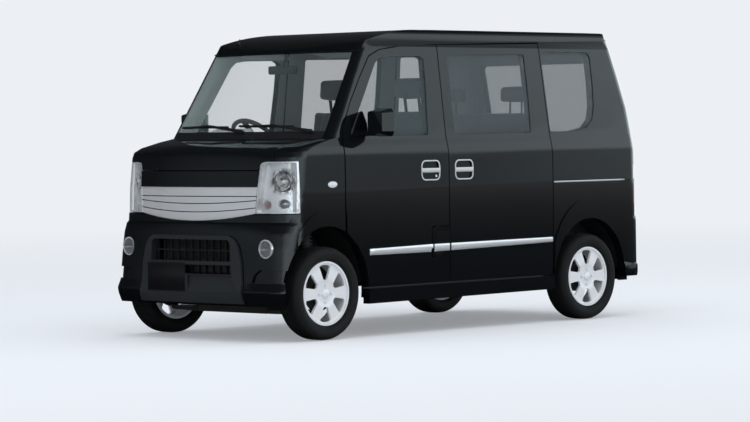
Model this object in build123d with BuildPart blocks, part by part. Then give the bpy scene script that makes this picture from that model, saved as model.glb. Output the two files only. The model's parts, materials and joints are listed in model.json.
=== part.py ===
from build123d import *
import os
from math import cos, sin, radians, sqrt

os.makedirs("parts", exist_ok=True)

# A one-box kei van with a front engine under its seats, on its four wheels. Millimetres, +Z up,
# origin on the ground under the middle of the body, nose towards -Y, the van's left side +X.

# ---- overall ----
length = 3395.0
body_width = 1475.0
roof_z = 1870.0
wheelbase = 2400.0
front_overhang = 440.0
track_front = 1310.0
track_rear = 1290.0

nose_y = -length / 2
tail_y = length / 2
front_axle = nose_y + front_overhang
rear_axle = front_axle + wheelbase

# ---- panels and gaps ----
wall = 45.0          # thickness of doors, pillars and side panels
flare_lift = 7.0     # wheel-arch flares stand proud of the side by this much
seam = 0.3           # seam between fixed panels
door_gap = 7.0       # gap round a door or a lid
seat_gap = 0.4       # a closed door or lid off its weatherstrip
jamb_wall = 12.0     # thickness of the jamb behind the doors
jamb_lap = 16.0      # how far the jamb reaches in past a door's edge
glass_set = 4.0      # glass lies this far below the skin
glass_wall = 5.0
half = body_width / 2 - flare_lift

# ---- levels ----
sill_z = 303.0
belt_z = 1190.0
grille_top_z = 913.0
gutter = ((-1250.0, 1716.0), (-890.0, 1716.0), (-700.0, 1741.0), (-94.0, 1768.0), (750.0, 1786.0),
          (1800.0, 1808.0))

# ---- wheels ----
tyre_r = 277.0
tyre_width = 165.0
rim_r = 191.0
rim_width = 128.0
hub_z = tyre_r
bolt_circle = 100.0

# Plan sections of the body: height, side inset, nose setback, nose bow, nose corner radius,
# tail inset, tail bow, tail corner radius.
stations = (
    (190.0, 8.0, 42.0, 60.0, 120.0, 38.0, 20.0, 80.0),
    (440.0, 0.0, 38.0, 70.0, 140.0, 24.0, 25.0, 90.0),
    (700.0, 0.0, 34.0, 91.0, 165.0, 22.0, 28.0, 90.0),
    (900.0, 0.0, 39.0, 91.0, 170.0, 22.0, 28.0, 90.0),
    (1085.0, 1.5, 58.0, 95.0, 170.0, 24.0, 28.0, 90.0),
    (1118.0, 6.0, 68.0, 100.0, 165.0, 25.0, 28.0, 88.0),
    (1145.0, 12.0, 125.0, 105.0, 150.0, 26.0, 28.0, 86.0),
    (1180.0, 21.0, 280.0, 110.0, 110.0, 27.0, 28.0, 84.0),
    (1200.0, 26.0, 400.0, 114.0, 70.0, 29.0, 28.0, 82.0),
    (1360.0, 44.8, 502.0, 108.4, 66.0, 52.0, 28.0, 80.0),
    (1575.0, 70.0, 639.4, 101.0, 60.0, 122.0, 22.0, 75.0),
    (1745.0, 90.0, 748.0, 95.0, 55.0, 195.0, 6.0, 70.0),
    (1885.0, 106.0, 838.0, 90.0, 55.0, 252.0, 4.0, 70.0),
)
# Plan sections of the front bumper: height, nose setback, side inset, bow, corner radius.
bumper_wall = 28.0
bumper_stations = (
    (212.0, 24.0, 4.0, 40.0, 90.0),
    (262.0, 4.0, -3.0, 40.0, 95.0),
    (292.0, 0.0, -6.0, 40.0, 95.0),
    (304.0, 2.0, -6.0, 41.0, 95.0),
    (346.0, 13.0, -2.0, 46.0, 100.0),
    (560.0, 16.0, -1.0, 60.0, 125.0),
    (640.0, 16.0, -1.0, 68.0, 145.0),
    (690.0, 19.0, -1.0, 82.0, 160.0),
    (704.0, 28.0, 0.0, 89.0, 165.0),
    (764.0, 31.0, 0.0, 91.0, 167.0),
)
# Plan sections of the rear bumper: height, tail setback, side inset, bow, corner radius.
rear_bumper_stations = (
    (240.0, 14.0, -2.0, 24.0, 90.0),
    (285.0, 0.0, -6.0, 26.0, 94.0),
    (338.0, 0.0, -6.0, 26.0, 94.0),
    (348.0, 8.0, -1.0, 26.0, 92.0),
    (620.0, 8.0, -1.0, 28.0, 92.0),
    (660.0, 14.0, -1.0, 28.0, 90.0),
)


def section(z, side, nose, bow, nose_r, tail, tail_bow, tail_r):
    """Closed plan outline: bowed nose and tail, straight sides, rounded corners."""
    with BuildSketch(Plane.XY.offset(z)) as plan:
        with BuildLine():
            front = ThreePointArc((-side, nose + bow), (0, nose), (side, nose + bow))
            back = ThreePointArc((side, tail - tail_bow), (0, tail), (-side, tail - tail_bow))
            Line(front @ 1, back @ 0)
            Line(back @ 1, front @ 0)
        make_face()
        corners = plan.vertices().sort_by(Axis.Y)
        fillet(corners[:2], nose_r)
        corners = plan.vertices().sort_by(Axis.Y)
        fillet(corners[-2:], tail_r)
    return plan.sketch


def hull(inset):
    """The body's outer form, every face moved in by inset."""
    faces = [
        section(z, half - side - inset, nose_y + nose + inset, bow, max(nose_r - inset, 12),
                tail_y - tail - inset, tail_bow, max(tail_r - inset, 12))
        for z, side, nose, bow, nose_r, tail, tail_bow, tail_r in stations
    ]
    top = roof_z - inset
    with BuildPart() as form:
        add(loft(faces, ruled=True, mode=Mode.PRIVATE))
        with BuildSketch(Plane.YZ):
            with BuildLine():
                header = ThreePointArc((-966 + inset, 1733), (-660, top - 52), (-250, top - 17))
                crown = ThreePointArc(header @ 1, (420, top - 1), (1250, top - 1))
                tail = ThreePointArc(crown @ 1, (1420, top - 14), (1502 - inset, 1786))
                Polyline(tail @ 1, (tail_y + 200, 1786), (tail_y + 200, 100), (nose_y - 200, 100),
                         (nose_y - 200, 1733), header @ 0)
            make_face()
        extrude(amount=900, both=True, mode=Mode.INTERSECT)
        with BuildSketch(Plane.XZ) as cross:
            side = half - 95 - inset
            with BuildLine():
                arch = ThreePointArc((-side, top - 22), (0, top), (side, top - 22))
                Polyline(arch @ 1, (side, 1745), (900, 1745), (900, 100), (-900, 100), (-900, 1745),
                         (-side, 1745), arch @ 0)
            make_face()
            fillet(cross.vertices().sort_by(Axis.Y)[-2:], 48)
        extrude(amount=2500, both=True, mode=Mode.INTERSECT)
    return form.part


def bumper_form(inset):
    """The front bumper's outer form."""
    faces = [
        section(z, half - side - inset, nose_y + nose + inset, bow, max(r - inset, 12), 0, 5, 5)
        for z, nose, side, bow, r in bumper_stations
    ]
    return loft(faces, ruled=True, mode=Mode.PRIVATE)


def rear_bumper_form(inset):
    """The rear bumper's outer form."""
    faces = [
        section(z, half - side - inset, 0, 5, 5, tail_y - tail - inset, bow, r)
        for z, tail, side, bow, r in rear_bumper_stations
    ]
    return loft(faces, ruled=True, mode=Mode.PRIVATE)


def prism_x(points, x0, x1):
    """A side-view outline (y, z) run from x0 to x1."""
    with BuildPart() as solid:
        with BuildSketch(Plane.YZ.offset(x0)):
            Polygon(*points, align=None)
        extrude(amount=x1 - x0)
    return solid.part


def prism_y(points, y0, y1):
    """A front-view outline (x, z) run from y0 to y1."""
    with BuildPart() as solid:
        with BuildSketch(Plane.XZ.offset(-y1)):
            Polygon(*points, align=None)
        extrude(amount=y1 - y0)
    return solid.part


def prism_z(points, z0, z1):
    """A plan outline (x, y) run from z0 to z1."""
    with BuildPart() as solid:
        with BuildSketch(Plane.XY.offset(z0)):
            Polygon(*points, align=None)
        extrude(amount=z1 - z0)
    return solid.part


def block(x0, x1, y0, y1, z0, z1):
    """A box between two corners."""
    return prism_z(((x0, y0), (x1, y0), (x1, y1), (x0, y1)), z0, z1)


def rod(start, end, radius):
    """A round bar between two points."""
    along = Vector(end) - Vector(start)
    with BuildPart() as bar:
        with BuildSketch(Plane(origin=start, z_dir=along)):
            Circle(radius)
        extrude(amount=along.length)
    return bar.part


def grown(points, amount, depth, holes=(), round_to=0):
    """A side-view outline, grown by amount, cut by arches and run out to +/- depth."""
    with BuildPart() as solid:
        with BuildSketch(Plane.YZ) as flat:
            Polygon(*points, align=None)
            if round_to:
                fillet(flat.vertices(), round_to)
            if amount:
                offset(amount=amount, kind=Kind.INTERSECTION)
            for y, z, a, b in holes:
                with Locations((y, z)):
                    Ellipse(a - amount, b - amount, mode=Mode.SUBTRACT)
        extrude(amount=depth)
    return solid.part


# ---- hinges ----
# In the plane across a hinge, u runs from the pin to the lid and v out through the skin.
skin_v = 8.0         # pin below the skin
lid_u = 16.0         # pin to the lid's edge
barrel_r = 5.0
pin_r = 2.5
pin_fit = 0.05
hinge_width = 56.0
pocket_clear = 3.0


def hinge_arm(plane, size=1.0, width=hinge_width):
    """A goose-neck arm from the pin into the lid's edge."""
    with BuildPart() as arm:
        with BuildSketch(plane):
            Circle(barrel_r * size)
            Polygon((-5 * size, 0), (-5 * size, -19 * size), (5 * size, -19 * size),
                    ((lid_u + 3) * size, -19 * size), ((lid_u + 3) * size, -9 * size),
                    (5 * size, -9 * size), (5 * size, 0), align=None)
            Circle((pin_r * size) + pin_fit, mode=Mode.SUBTRACT)
        extrude(amount=width / 2, both=True)
    return arm.part


def hinge_pocket(plane, size=1.0, width=hinge_width):
    """The pocket in which the arm swings."""
    with BuildPart() as pocket:
        with BuildSketch(plane):
            Polygon((-9 * size, 5.6 * size), (-9 * size, -25 * size), (20 * size, -25 * size),
                    (20 * size, 5.6 * size), align=None)
        extrude(amount=width / 2 + pocket_clear, both=True)
    return pocket.part


def hinge_pin(plane, size=1.0, width=hinge_width):
    """The pin, held in the pocket's two ends."""
    with BuildPart() as pin:
        with BuildSketch(plane):
            Circle(pin_r * size)
        extrude(amount=width / 2 + pocket_clear + 3, both=True)
    return pin.part


# ---- outlines in side view (y, z) ----
door_front_y = -1092.0
door_pin_y = door_front_y - lid_u
door_pin_x = half - skin_v
b_seam_y = -188.0
door_sweep = b_seam_y - door_pin_y    # the front door's rear edge is an arc about its pin
door_outline = (
    (door_front_y, sill_z), (door_front_y, belt_z), (-1080, 1252), (-990, 1415), (-894, 1556),
    (-800, 1682), (-707, 1722), (-529, 1744), (-120, 1759), (-120, sill_z),
)
slide_outline = (
    (-230, sill_z), (782, sill_z), (782, 1200), (755, 1776), (-230, 1756),
)
front_window = ((-1030, 1203), (-753, 1642), (-714, 1673), (-626, 1684), (-361, 1689),
                (-322, 1669), (-326, 1494), (-345, 1203))
slide_window = ((-109, 1206), (608, 1211), (617, 1429), (612, 1707), (-103, 1696))
quarter_window = ((797, 1214), (1021, 1216), (1154, 1237), (1222, 1290), (1250, 1370),
                  (1261, 1530), (1258, 1692), (1232, 1724), (775, 1720))
windscreen_outline = ((-646, 1238), (646, 1238), (596, 1708), (-596, 1708))
tailgate_outline = ((-636, 668), (636, 668), (640, 1150), (596, 1770), (-596, 1770))
rear_window = ((-560, 1215), (560, 1215), (520, 1660), (-520, 1660))
front_arch = (front_axle, hub_z, 347.0, 398.0)
rear_arch = (rear_axle, hub_z, 352.0, 377.0)
gate_front_y = 1482.0    # the tailgate's side edges start here, behind its hinge line
tail_lamp_y = 1590.0
rear_bumper_top = 655.0

outer_form = hull(0)
wall_form = hull(wall)
seat_form = hull(wall + seat_gap)
cabin_form = hull(wall + seat_gap + jamb_wall)

with BuildPart() as thin:
    add(outer_form)
    add(wall_form, mode=Mode.SUBTRACT)
with BuildPart() as thick:
    add(outer_form)
    add(cabin_form, mode=Mode.SUBTRACT)
under_form = hull(glass_set)
with BuildPart() as glazing:
    add(under_form)
    add(hull(glass_set + glass_wall), mode=Mode.SUBTRACT)

above_gutter = prism_x([*gutter, (1800, 2000), (-1250, 2000)], -900, 900)
below_gutter = prism_x([(y, z - seam) for y, z in gutter] + [(1800, 100), (-1250, 100)], 0, 900)

# ---- hinge planes ----
door_planes = [Plane(origin=(door_pin_x, door_pin_y, z), x_dir=(0, 1, 0), z_dir=(0, 0, -1))
               for z in (745.0, 1060.0)]
gate_pin_z = 1770.0 + lid_u
gate_pin_y = 1477.0
gate_planes = [Plane(origin=(x, gate_pin_y, gate_pin_z), x_dir=(0, 0, -1), z_dir=(1, 0, 0))
               for x in (-420.0, 420.0)]

# ---- regions shared by the fixed panels ----
fender_rear_y = door_front_y - door_gap - 2.0
fender_zone = ((-1900, 100), (fender_rear_y, 100), (fender_rear_y, belt_z), (-1900, belt_z))
lamp_outline = ((498.5, 757), (521, 1040), (531, 1055), (560, 1061), (900, 1061), (900, 757))
lamp_rear_y = -1470.0
bonnet_front = ((-507, 1013), (507, 1013), (524, 1056), (560, 1068), (900, 1068), (900, 1300),
                (-900, 1300), (-900, 1068), (-560, 1068), (-524, 1056))
bonnet_plan = ((0, -1900), (612, -1900), (612, -1560), (650, -1420), (664, -1300), (664, -1243),
               (500, -1266), (250, -1308), (0, -1322))
bumper_side = ((-1900, 100), (-1480, 100), (-1500, 590), (-1467, 762), (-1900, 762))
bumper_top = ((-900, 755), (-490, 749), (-250, 722), (0, 709), (250, 722), (490, 749), (900, 755),
              (900, 100), (-900, 100))


def both_sides(points):
    """A right-hand half outline closed by its mirror image."""
    return [*points, *[(-x, y) for x, y in reversed(points)]]


def bonnet_tool(clearance):
    """What the bonnet takes out of the body's form."""
    with BuildPart() as tool:
        with BuildSketch(Plane.XZ):
            Polygon(*bonnet_front, align=None)
            if clearance:
                offset(amount=clearance, kind=Kind.INTERSECTION)
        extrude(amount=2000, both=True)
        with BuildSketch(Plane.XY.offset(900)):
            Polygon(*both_sides(bonnet_plan), align=None)
            if clearance:
                offset(amount=clearance, kind=Kind.INTERSECTION)
        extrude(amount=600, mode=Mode.INTERSECT)
    return tool.part


def pocket(tool):
    """A region cut out of the outer layer only, down to the jamb."""
    with BuildPart() as recess:
        add(tool)
        add(seat_form, mode=Mode.SUBTRACT)
    return recess.part


def flare(y, z, a, b, foot_z):
    """The raised band round a wheel arch, before the arch is cut."""
    with BuildPart() as lip:
        add(proud_layer.part)
        with BuildSketch(Plane.YZ) as band:
            with Locations((y, z)):
                Ellipse(a, b)
            with Locations((y, foot_z - 500)):
                Rectangle(1000, 1000, mode=Mode.SUBTRACT)
        extrude(amount=900, mode=Mode.INTERSECT)
    return lip.part


proud_form = hull(-flare_lift)
with BuildPart() as proud_layer:
    add(proud_form)
    add(under_form, mode=Mode.SUBTRACT)
front_flare = flare(front_axle + 32, hub_z + 53, 372.0, 447.0, hub_z + 30)
rear_flare = flare(rear_axle + 8, hub_z + 66, 382.0, 446.0, hub_z + 30)

# ---- grooves and recesses in the sides ----
lid_wall = 10.0
lid_form = hull(lid_wall)
groove_line = ((-1449, 858), (-1075, 860), (-646, 870), (-202, 881), (257, 890), (771, 900), (1541, 897))
groove_height = 9.0
with BuildPart() as side_groove:
    add(prism_x([*groove_line, *[(y, z - groove_height) for y, z in reversed(groove_line)]], 0, 900))
    add(under_form, mode=Mode.SUBTRACT)
# The upper rail of the sliding door runs in a slot along the quarter panel.
slot_front_y, slot_rear_y = 795.0, 1500.0
handle_z = 989.0
handle_length, handle_height = 152.0, 112.0
handle_bar = 24.0
handle_proud = 6.0
front_handle_y, slide_handle_y = -354.0, -52.0


def handle_recess(y):
    """The hollow behind a door handle."""
    with BuildPart() as recess:
        with BuildSketch(Plane.YZ):
            with Locations((y, handle_z)):
                RectangleRounded(handle_length, handle_height, 30)
        extrude(amount=900)
        add(lid_form, mode=Mode.SUBTRACT)
    return recess.part


def handle_at(y):
    """A pull bar across its recess."""
    with BuildPart() as bar:
        with BuildSketch(Plane.YZ.offset(half - lid_wall + 3)):
            with Locations((y, handle_z)):
                Rectangle(handle_length + 6, handle_bar)
        extrude(amount=lid_wall - 3 + handle_proud)
        fillet(bar.edges().filter_by(Axis.Y).group_by(Axis.X)[-1], 5)
    return bar.part


# ---- front door, left ----
with BuildPart() as door_sweep_form:
    with BuildSketch(Plane.XY.offset(100)):
        with Locations((door_pin_x, door_pin_y)):
            Circle(door_sweep - door_gap / 2)
    extrude(amount=1900)
with BuildPart() as door_blank:
    add(thin.part)
    add(front_flare)
    add(grown(door_outline, 0, 900, [front_arch]), mode=Mode.INTERSECT)
    add(door_sweep_form.part, mode=Mode.INTERSECT)
    add(grown(front_window, 0, 900, round_to=20), mode=Mode.SUBTRACT)
    add(side_groove.part, mode=Mode.SUBTRACT)
    add(handle_recess(front_handle_y), mode=Mode.SUBTRACT)
    add(handle_at(front_handle_y))
    for plane in door_planes:
        add(hinge_arm(plane))

# The fuel lid takes the rear lower corner of the left door.
lid_front_y = -326.0
lid_low_z = 484.0
lid_top_z = 622.0
lid_outline = ((lid_front_y, lid_low_z), (b_seam_y - 1, lid_low_z), (b_seam_y - 1, lid_top_z),
               (lid_front_y, lid_top_z))
lid_round = 48.0
lid_hinge = 0.5
lid_gap = 5.0
lid_frame = 18.0     # the filler recess's rim runs this far out round the lid
lid_plane = Plane(origin=(half - skin_v * lid_hinge - 0.5, lid_front_y - lid_u * lid_hinge, 535),
                  x_dir=(0, 1, 0), z_dir=(0, 0, -1))


def lid_prism(amount, square=False):
    """The fuel lid's outline, its upper front corner rounded unless square, grown by amount."""
    with BuildPart() as solid:
        with BuildSketch(Plane.YZ) as flat:
            Polygon(*lid_outline, align=None)
            if not square:
                fillet(flat.vertices().sort_by(Axis.X)[:2].sort_by(Axis.Y)[-1:], lid_round)
            if amount:
                offset(amount=amount, kind=Kind.INTERSECTION)
        extrude(amount=900)
    return solid.part


with BuildPart() as front_door_left:
    add(door_blank.part)
    add(lid_prism(lid_frame + door_gap, square=True), mode=Mode.SUBTRACT)
front_door_left.part.label = "front_door_left"

with BuildPart() as front_door_right:
    mirror(door_blank.part, about=Plane.YZ)
front_door_right.part.label = "front_door_right"

with BuildPart() as door_glass_left:
    add(glazing.part)
    add(grown(front_window, -seam, 900, round_to=20), mode=Mode.INTERSECT)
door_glass_left.part.label = "door_glass_left"
with BuildPart() as door_glass_right:
    mirror(door_glass_left.part, about=Plane.YZ)
door_glass_right.part.label = "door_glass_right"

# ---- side bodies ----
with BuildPart() as door_holes:
    add(pocket(grown(door_outline, door_gap, 900)))
    add(pocket(grown(slide_outline, door_gap, 900)))
    with BuildSketch(Plane.YZ) as front_hole:
        Polygon(*door_outline[:-2], (-246, 1752), (-246, sill_z), align=None)
        offset(amount=-jamb_lap, kind=Kind.INTERSECTION)
        with Locations(front_arch[:2]):
            Ellipse(front_arch[2] + 50, front_arch[3] + 50, mode=Mode.SUBTRACT)
    extrude(amount=900)
    with BuildSketch(Plane.YZ) as slide_hole:
        Polygon((-128, sill_z), *slide_outline[1:4], (-128, 1758), align=None)
        offset(amount=-jamb_lap, kind=Kind.INTERSECTION)
    extrude(amount=900)
with BuildPart() as gate_holes:
    with BuildSketch(Plane.XZ.offset(-gate_front_y + door_gap)):
        Polygon(*tailgate_outline, align=None)
        offset(amount=door_gap, kind=Kind.INTERSECTION)
    extrude(amount=-700)
    add(seat_form, mode=Mode.SUBTRACT)
    with BuildSketch(Plane.XZ.offset(-1200)):
        Polygon(*tailgate_outline, align=None)
        offset(amount=-jamb_lap, kind=Kind.INTERSECTION)
    extrude(amount=-700)
    add(block(-600, 600, gate_front_y - 10, 1900, 1760, gate_pin_z - 3))

with BuildPart() as rail_slot:
    add(block(0, 900, slot_front_y, slot_rear_y, 884, 908))
    add(lid_form, mode=Mode.SUBTRACT)
lamp_prism = block(646, 900, tail_lamp_y, 1900, 735, 1196)
skirt_zone = ((-1900, 100), (1900, 100), (1900, sill_z - door_gap), (-1900, sill_z - door_gap))
rear_bumper_side = ((1440, 100), (1900, 100), (1900, rear_bumper_top), (1440, rear_bumper_top))
with BuildPart() as side_blank:
    add(thick.part, clean=False)
    add(below_gutter, mode=Mode.INTERSECT, clean=False)
    add(block(0, 900, -1236, 1900, 236, 1900), mode=Mode.INTERSECT, clean=False)
    add(rear_flare, clean=False)
    add(pocket(block(0, 900, -1900, door_front_y, 100, belt_z + seam)), mode=Mode.SUBTRACT,
        clean=False)
    add(block(0, 646, -1500, -700, 100, 1238), mode=Mode.SUBTRACT, clean=False)
    add(prism_y(windscreen_outline, -1500, -700), mode=Mode.SUBTRACT, clean=False)
    add(door_holes.part, mode=Mode.SUBTRACT, clean=False)
    add(gate_holes.part, mode=Mode.SUBTRACT, clean=False)
    add(block(0, 560, 1200, 1900, 100, 1900), mode=Mode.SUBTRACT, clean=False)
    add(pocket(block(646 - seam, 900, tail_lamp_y - seam, 1900, 735 - seam, 1196 + seam)),
        mode=Mode.SUBTRACT, clean=False)
    add(pocket(prism_x(skirt_zone, 0, 900)), mode=Mode.SUBTRACT, clean=False)
    add(pocket(prism_x([(y - seam, z + seam) for y, z in rear_bumper_side], 0, 900)),
        mode=Mode.SUBTRACT, clean=False)
    add(grown(quarter_window, 0, 900, round_to=14), mode=Mode.SUBTRACT, clean=False)
    add(side_groove.part, mode=Mode.SUBTRACT, clean=False)
    add(rail_slot.part, mode=Mode.SUBTRACT, clean=False)
    for y, z, a, b in (front_arch, rear_arch):
        with BuildSketch(Plane.YZ):
            with Locations((y, z)):
                Ellipse(a, b)
        extrude(amount=900, mode=Mode.SUBTRACT, clean=False)

# The filler neck's recess behind the fuel lid stands on a plate that widens the pillar's foot.
filler_depth = 34.0
filler_zone = (0, 900, -400, b_seam_y + 2, 400, 700)
with BuildPart() as filler_plate:
    add(seat_form)
    add(cabin_form, mode=Mode.SUBTRACT)
    add(lid_prism(lid_frame, square=True), mode=Mode.INTERSECT)
    add(block(*filler_zone), mode=Mode.INTERSECT)
with BuildPart() as filler_recess:
    add(thin.part)
    add(lid_prism(lid_frame, square=True), mode=Mode.INTERSECT)
    add(block(*filler_zone), mode=Mode.INTERSECT)
    add(lid_prism(lid_gap), mode=Mode.SUBTRACT)
    add(hinge_pocket(lid_plane, lid_hinge), mode=Mode.SUBTRACT)
    add(hinge_pin(lid_plane, lid_hinge))
with BuildPart() as filler_floor:
    add(hull(filler_depth))
    add(wall_form, mode=Mode.SUBTRACT)
    add(lid_prism(lid_frame, square=True), mode=Mode.INTERSECT)
    add(block(*filler_zone), mode=Mode.INTERSECT)
    with BuildSketch(Plane.YZ.offset(half - filler_depth - 10)):
        with Locations(((lid_front_y + b_seam_y) / 2, 545)):
            Circle(27)
    extrude(amount=24)
with BuildPart() as fuel_filler:
    add(filler_recess.part)
    add(filler_floor.part)
fuel_filler.part.label = "fuel_filler"

with BuildPart() as side_body_left:
    add(side_blank.part)
    add(filler_plate.part)
side_body_left.part.label = "side_body_left"

with BuildPart() as side_body_right:
    mirror(side_blank.part, about=Plane.YZ)
side_body_right.part.label = "side_body_right"

with BuildPart() as fuel_lid:
    add(outer_form)
    add(lid_form, mode=Mode.SUBTRACT)
    add(lid_prism(0), mode=Mode.INTERSECT)
    add(hinge_arm(lid_plane, lid_hinge))
fuel_lid.part.label = "fuel_lid"

# ---- sliding doors, run in on their rail and latched ----
with BuildPart() as sliding_door_left:
    add(thin.part)
    add(grown(slide_outline, 0, 900, [rear_arch]), mode=Mode.INTERSECT)
    with BuildSketch(Plane.XY.offset(100)):
        with Locations((door_pin_x, door_pin_y)):
            Circle(door_sweep + door_gap / 2)
    extrude(amount=1900, mode=Mode.SUBTRACT)
    add(grown(slide_window, 0, 900, round_to=22), mode=Mode.SUBTRACT)
    add(side_groove.part, mode=Mode.SUBTRACT)
    add(handle_recess(slide_handle_y), mode=Mode.SUBTRACT)
    add(handle_at(slide_handle_y))
sliding_door_left.part.label = "sliding_door_left"
with BuildPart() as sliding_door_right:
    mirror(sliding_door_left.part, about=Plane.YZ)
sliding_door_right.part.label = "sliding_door_right"

with BuildPart() as side_glass:
    add(grown(slide_window, -seam, 900, round_to=22))
    add(grown(quarter_window, -seam, 900, round_to=14))
    add(glazing.part, mode=Mode.INTERSECT)
    mirror(about=Plane.YZ)
side_glass.part.label = "side_glass"

# ---- front fenders ----
with BuildPart() as front_fender_left:
    add(thin.part)
    add(front_flare)
    add(prism_x(fender_zone, 0, 900), mode=Mode.INTERSECT)
    add(bonnet_tool(5.0), mode=Mode.SUBTRACT)
    add(side_groove.part, mode=Mode.SUBTRACT)
    add(block(0, 672, -1322, -1100, 1068, 1300), mode=Mode.SUBTRACT)
    add(block(0, 532, -1900, -1100, 100, 1068), mode=Mode.SUBTRACT)
    with BuildSketch(Plane.XZ.offset(-lamp_rear_y - seam)):
        Polygon(*lamp_outline, align=None)
        offset(amount=seam, kind=Kind.INTERSECTION)
    extrude(amount=500, mode=Mode.SUBTRACT)
    add(prism_x([(y + seam, z + seam) for y, z in bumper_side], 0, 900), mode=Mode.SUBTRACT)
    with BuildSketch(Plane.YZ):
        with Locations(front_arch[:2]):
            Ellipse(*front_arch[2:])
    extrude(amount=900, mode=Mode.SUBTRACT)
    with BuildSketch(door_planes[0]):
        Polygon((8, 7), (4.5, 10), (-7, 15.5), (-7, 40), (30, 40), (30, 7), align=None)
    extrude(amount=400, both=True, mode=Mode.SUBTRACT)
    for plane in door_planes:
        add(hinge_pocket(plane), mode=Mode.SUBTRACT)
        add(hinge_pin(plane))
front_fender_left.part.label = "front_fender_left"
with BuildPart() as front_fender_right:
    mirror(front_fender_left.part, about=Plane.YZ)
front_fender_right.part.label = "front_fender_right"

# ---- roof ----
gutter_lip = 6.0
with BuildPart() as drip_rails:
    add(prism_x([*gutter[1:], *[(y, z + gutter_lip) for y, z in reversed(gutter[1:])]], -900, 900))
    add(block(-900, 900, -890, 1440, 1600, 1900), mode=Mode.INTERSECT)
    add(proud_layer.part, mode=Mode.INTERSECT)
with BuildPart() as roof_skin:
    add(thin.part)
    add(above_gutter, mode=Mode.INTERSECT)
with BuildPart() as roof_panel:
    add(thin.part)
    add(block(-559.7, 559.7, 1350, 1900, gate_pin_z - 3, 1900), mode=Mode.INTERSECT)
    add(roof_skin.part)
    add(drip_rails.part)
    for plane in gate_planes:
        add(hinge_pocket(plane), mode=Mode.SUBTRACT)
        add(hinge_pin(plane))
roof_panel.part.label = "roof_panel"

# ---- tailgate ----
rear_plate_z = 800.0
with BuildPart() as plate_recess:
    add(block(-200, 200, 1400, 1900, rear_plate_z - 95, rear_plate_z + 95))
    add(lid_form, mode=Mode.SUBTRACT)
with BuildPart() as gate_garnish:
    add(proud_layer.part)
    add(block(-330, 330, 1400, 1900, rear_plate_z + 100, rear_plate_z + 142), mode=Mode.INTERSECT)
with BuildPart() as tailgate:
    add(thin.part)
    add(prism_y(tailgate_outline, gate_front_y, 1900), mode=Mode.INTERSECT)
    add(plate_recess.part, mode=Mode.SUBTRACT)
    add(gate_garnish.part)
    with BuildSketch(Plane.XZ.offset(-1200)) as pane:
        Polygon(*rear_window, align=None)
        fillet(pane.vertices(), 40)
    extrude(amount=-700, mode=Mode.SUBTRACT)
    for plane in gate_planes:
        add(hinge_arm(plane))
tailgate.part.label = "tailgate"
with BuildPart() as tailgate_glass:
    add(glazing.part)
    with BuildSketch(Plane.XZ.offset(-1200)) as pane:
        Polygon(*rear_window, align=None)
        fillet(pane.vertices(), 40)
        offset(amount=-seam)
    extrude(amount=-700, mode=Mode.INTERSECT)
tailgate_glass.part.label = "tailgate_glass"

# ---- bonnet ----
bonnet_pin_y = -1235.0
bonnet_pin_z = 1188.5
bonnet_planes = [Plane(origin=(x, bonnet_pin_y, bonnet_pin_z), x_dir=(0, -1, 0), z_dir=(-1, 0, 0))
                 for x in (-600.0, 600.0)]
with BuildPart() as bonnet:
    add(thin.part)
    add(bonnet_tool(0), mode=Mode.INTERSECT)
    for plane in bonnet_planes:
        add(hinge_arm(plane))
        with BuildSketch(plane):
            Polygon((lid_u - 1, -20), (60, -20), (60, -2), (lid_u - 1, 3), align=None)
        extrude(amount=hinge_width / 2, both=True)
bonnet.part.label = "bonnet"

# ---- scuttle under the windscreen ----
with BuildPart() as cowl_panel:
    add(thin.part)
    add(block(-645.7, 645.7, -1400, -1150, 1100, 1237.4), mode=Mode.INTERSECT)
    add(bonnet_tool(9.0), mode=Mode.SUBTRACT)
    add(block(-900, 900, -1900, -1100, 100, 1184), mode=Mode.SUBTRACT)
    for plane in bonnet_planes:
        add(hinge_pocket(plane), mode=Mode.SUBTRACT)
        add(hinge_pin(plane))
cowl_panel.part.label = "cowl_panel"

with BuildPart() as windscreen:
    add(glazing.part)
    with BuildSketch(Plane.XZ):
        Polygon(*windscreen_outline, align=None)
        offset(amount=-seam)
    extrude(amount=1500, mode=Mode.INTERSECT)
windscreen.part.label = "windscreen"

# ---- lamps ----
# A headlamp is an open housing with a bezel and three reflector bowls, closed by a clear lens.
lamp_wall = 6.0
lamp_back_y = lamp_rear_y - 12.0
bowl_wall = 3.0
# Bowls: place across and up, rim radius.
lamp_bowls = ((634.0, 943.0, 60.0), (541.0, 806.0, 31.0), (640.0, 812.0, 28.0))
with BuildPart() as lamp_space:
    with BuildSketch(Plane.XZ.offset(-lamp_rear_y)):
        Polygon(*lamp_outline, align=None)
    extrude(amount=500)
with BuildPart() as lamp_cavity:
    with BuildSketch(Plane.XZ.offset(-lamp_back_y)):
        Polygon(*lamp_outline, align=None)
        offset(amount=-lamp_wall, kind=Kind.INTERSECTION)
    extrude(amount=500)
    add(block(0, half - 14, -1900, lamp_back_y, 700, 1100), mode=Mode.INTERSECT)
    add(under_form, mode=Mode.INTERSECT)
with BuildPart() as lamp_bezel:
    add(wall_form)
    add(cabin_form, mode=Mode.SUBTRACT)
    add(lamp_cavity.part, mode=Mode.INTERSECT)
    for x, z, rim in lamp_bowls:
        with BuildSketch(Plane.XZ.offset(-lamp_back_y)):
            with Locations((x, z)):
                Circle(rim)
        extrude(amount=300, mode=Mode.SUBTRACT)
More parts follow.
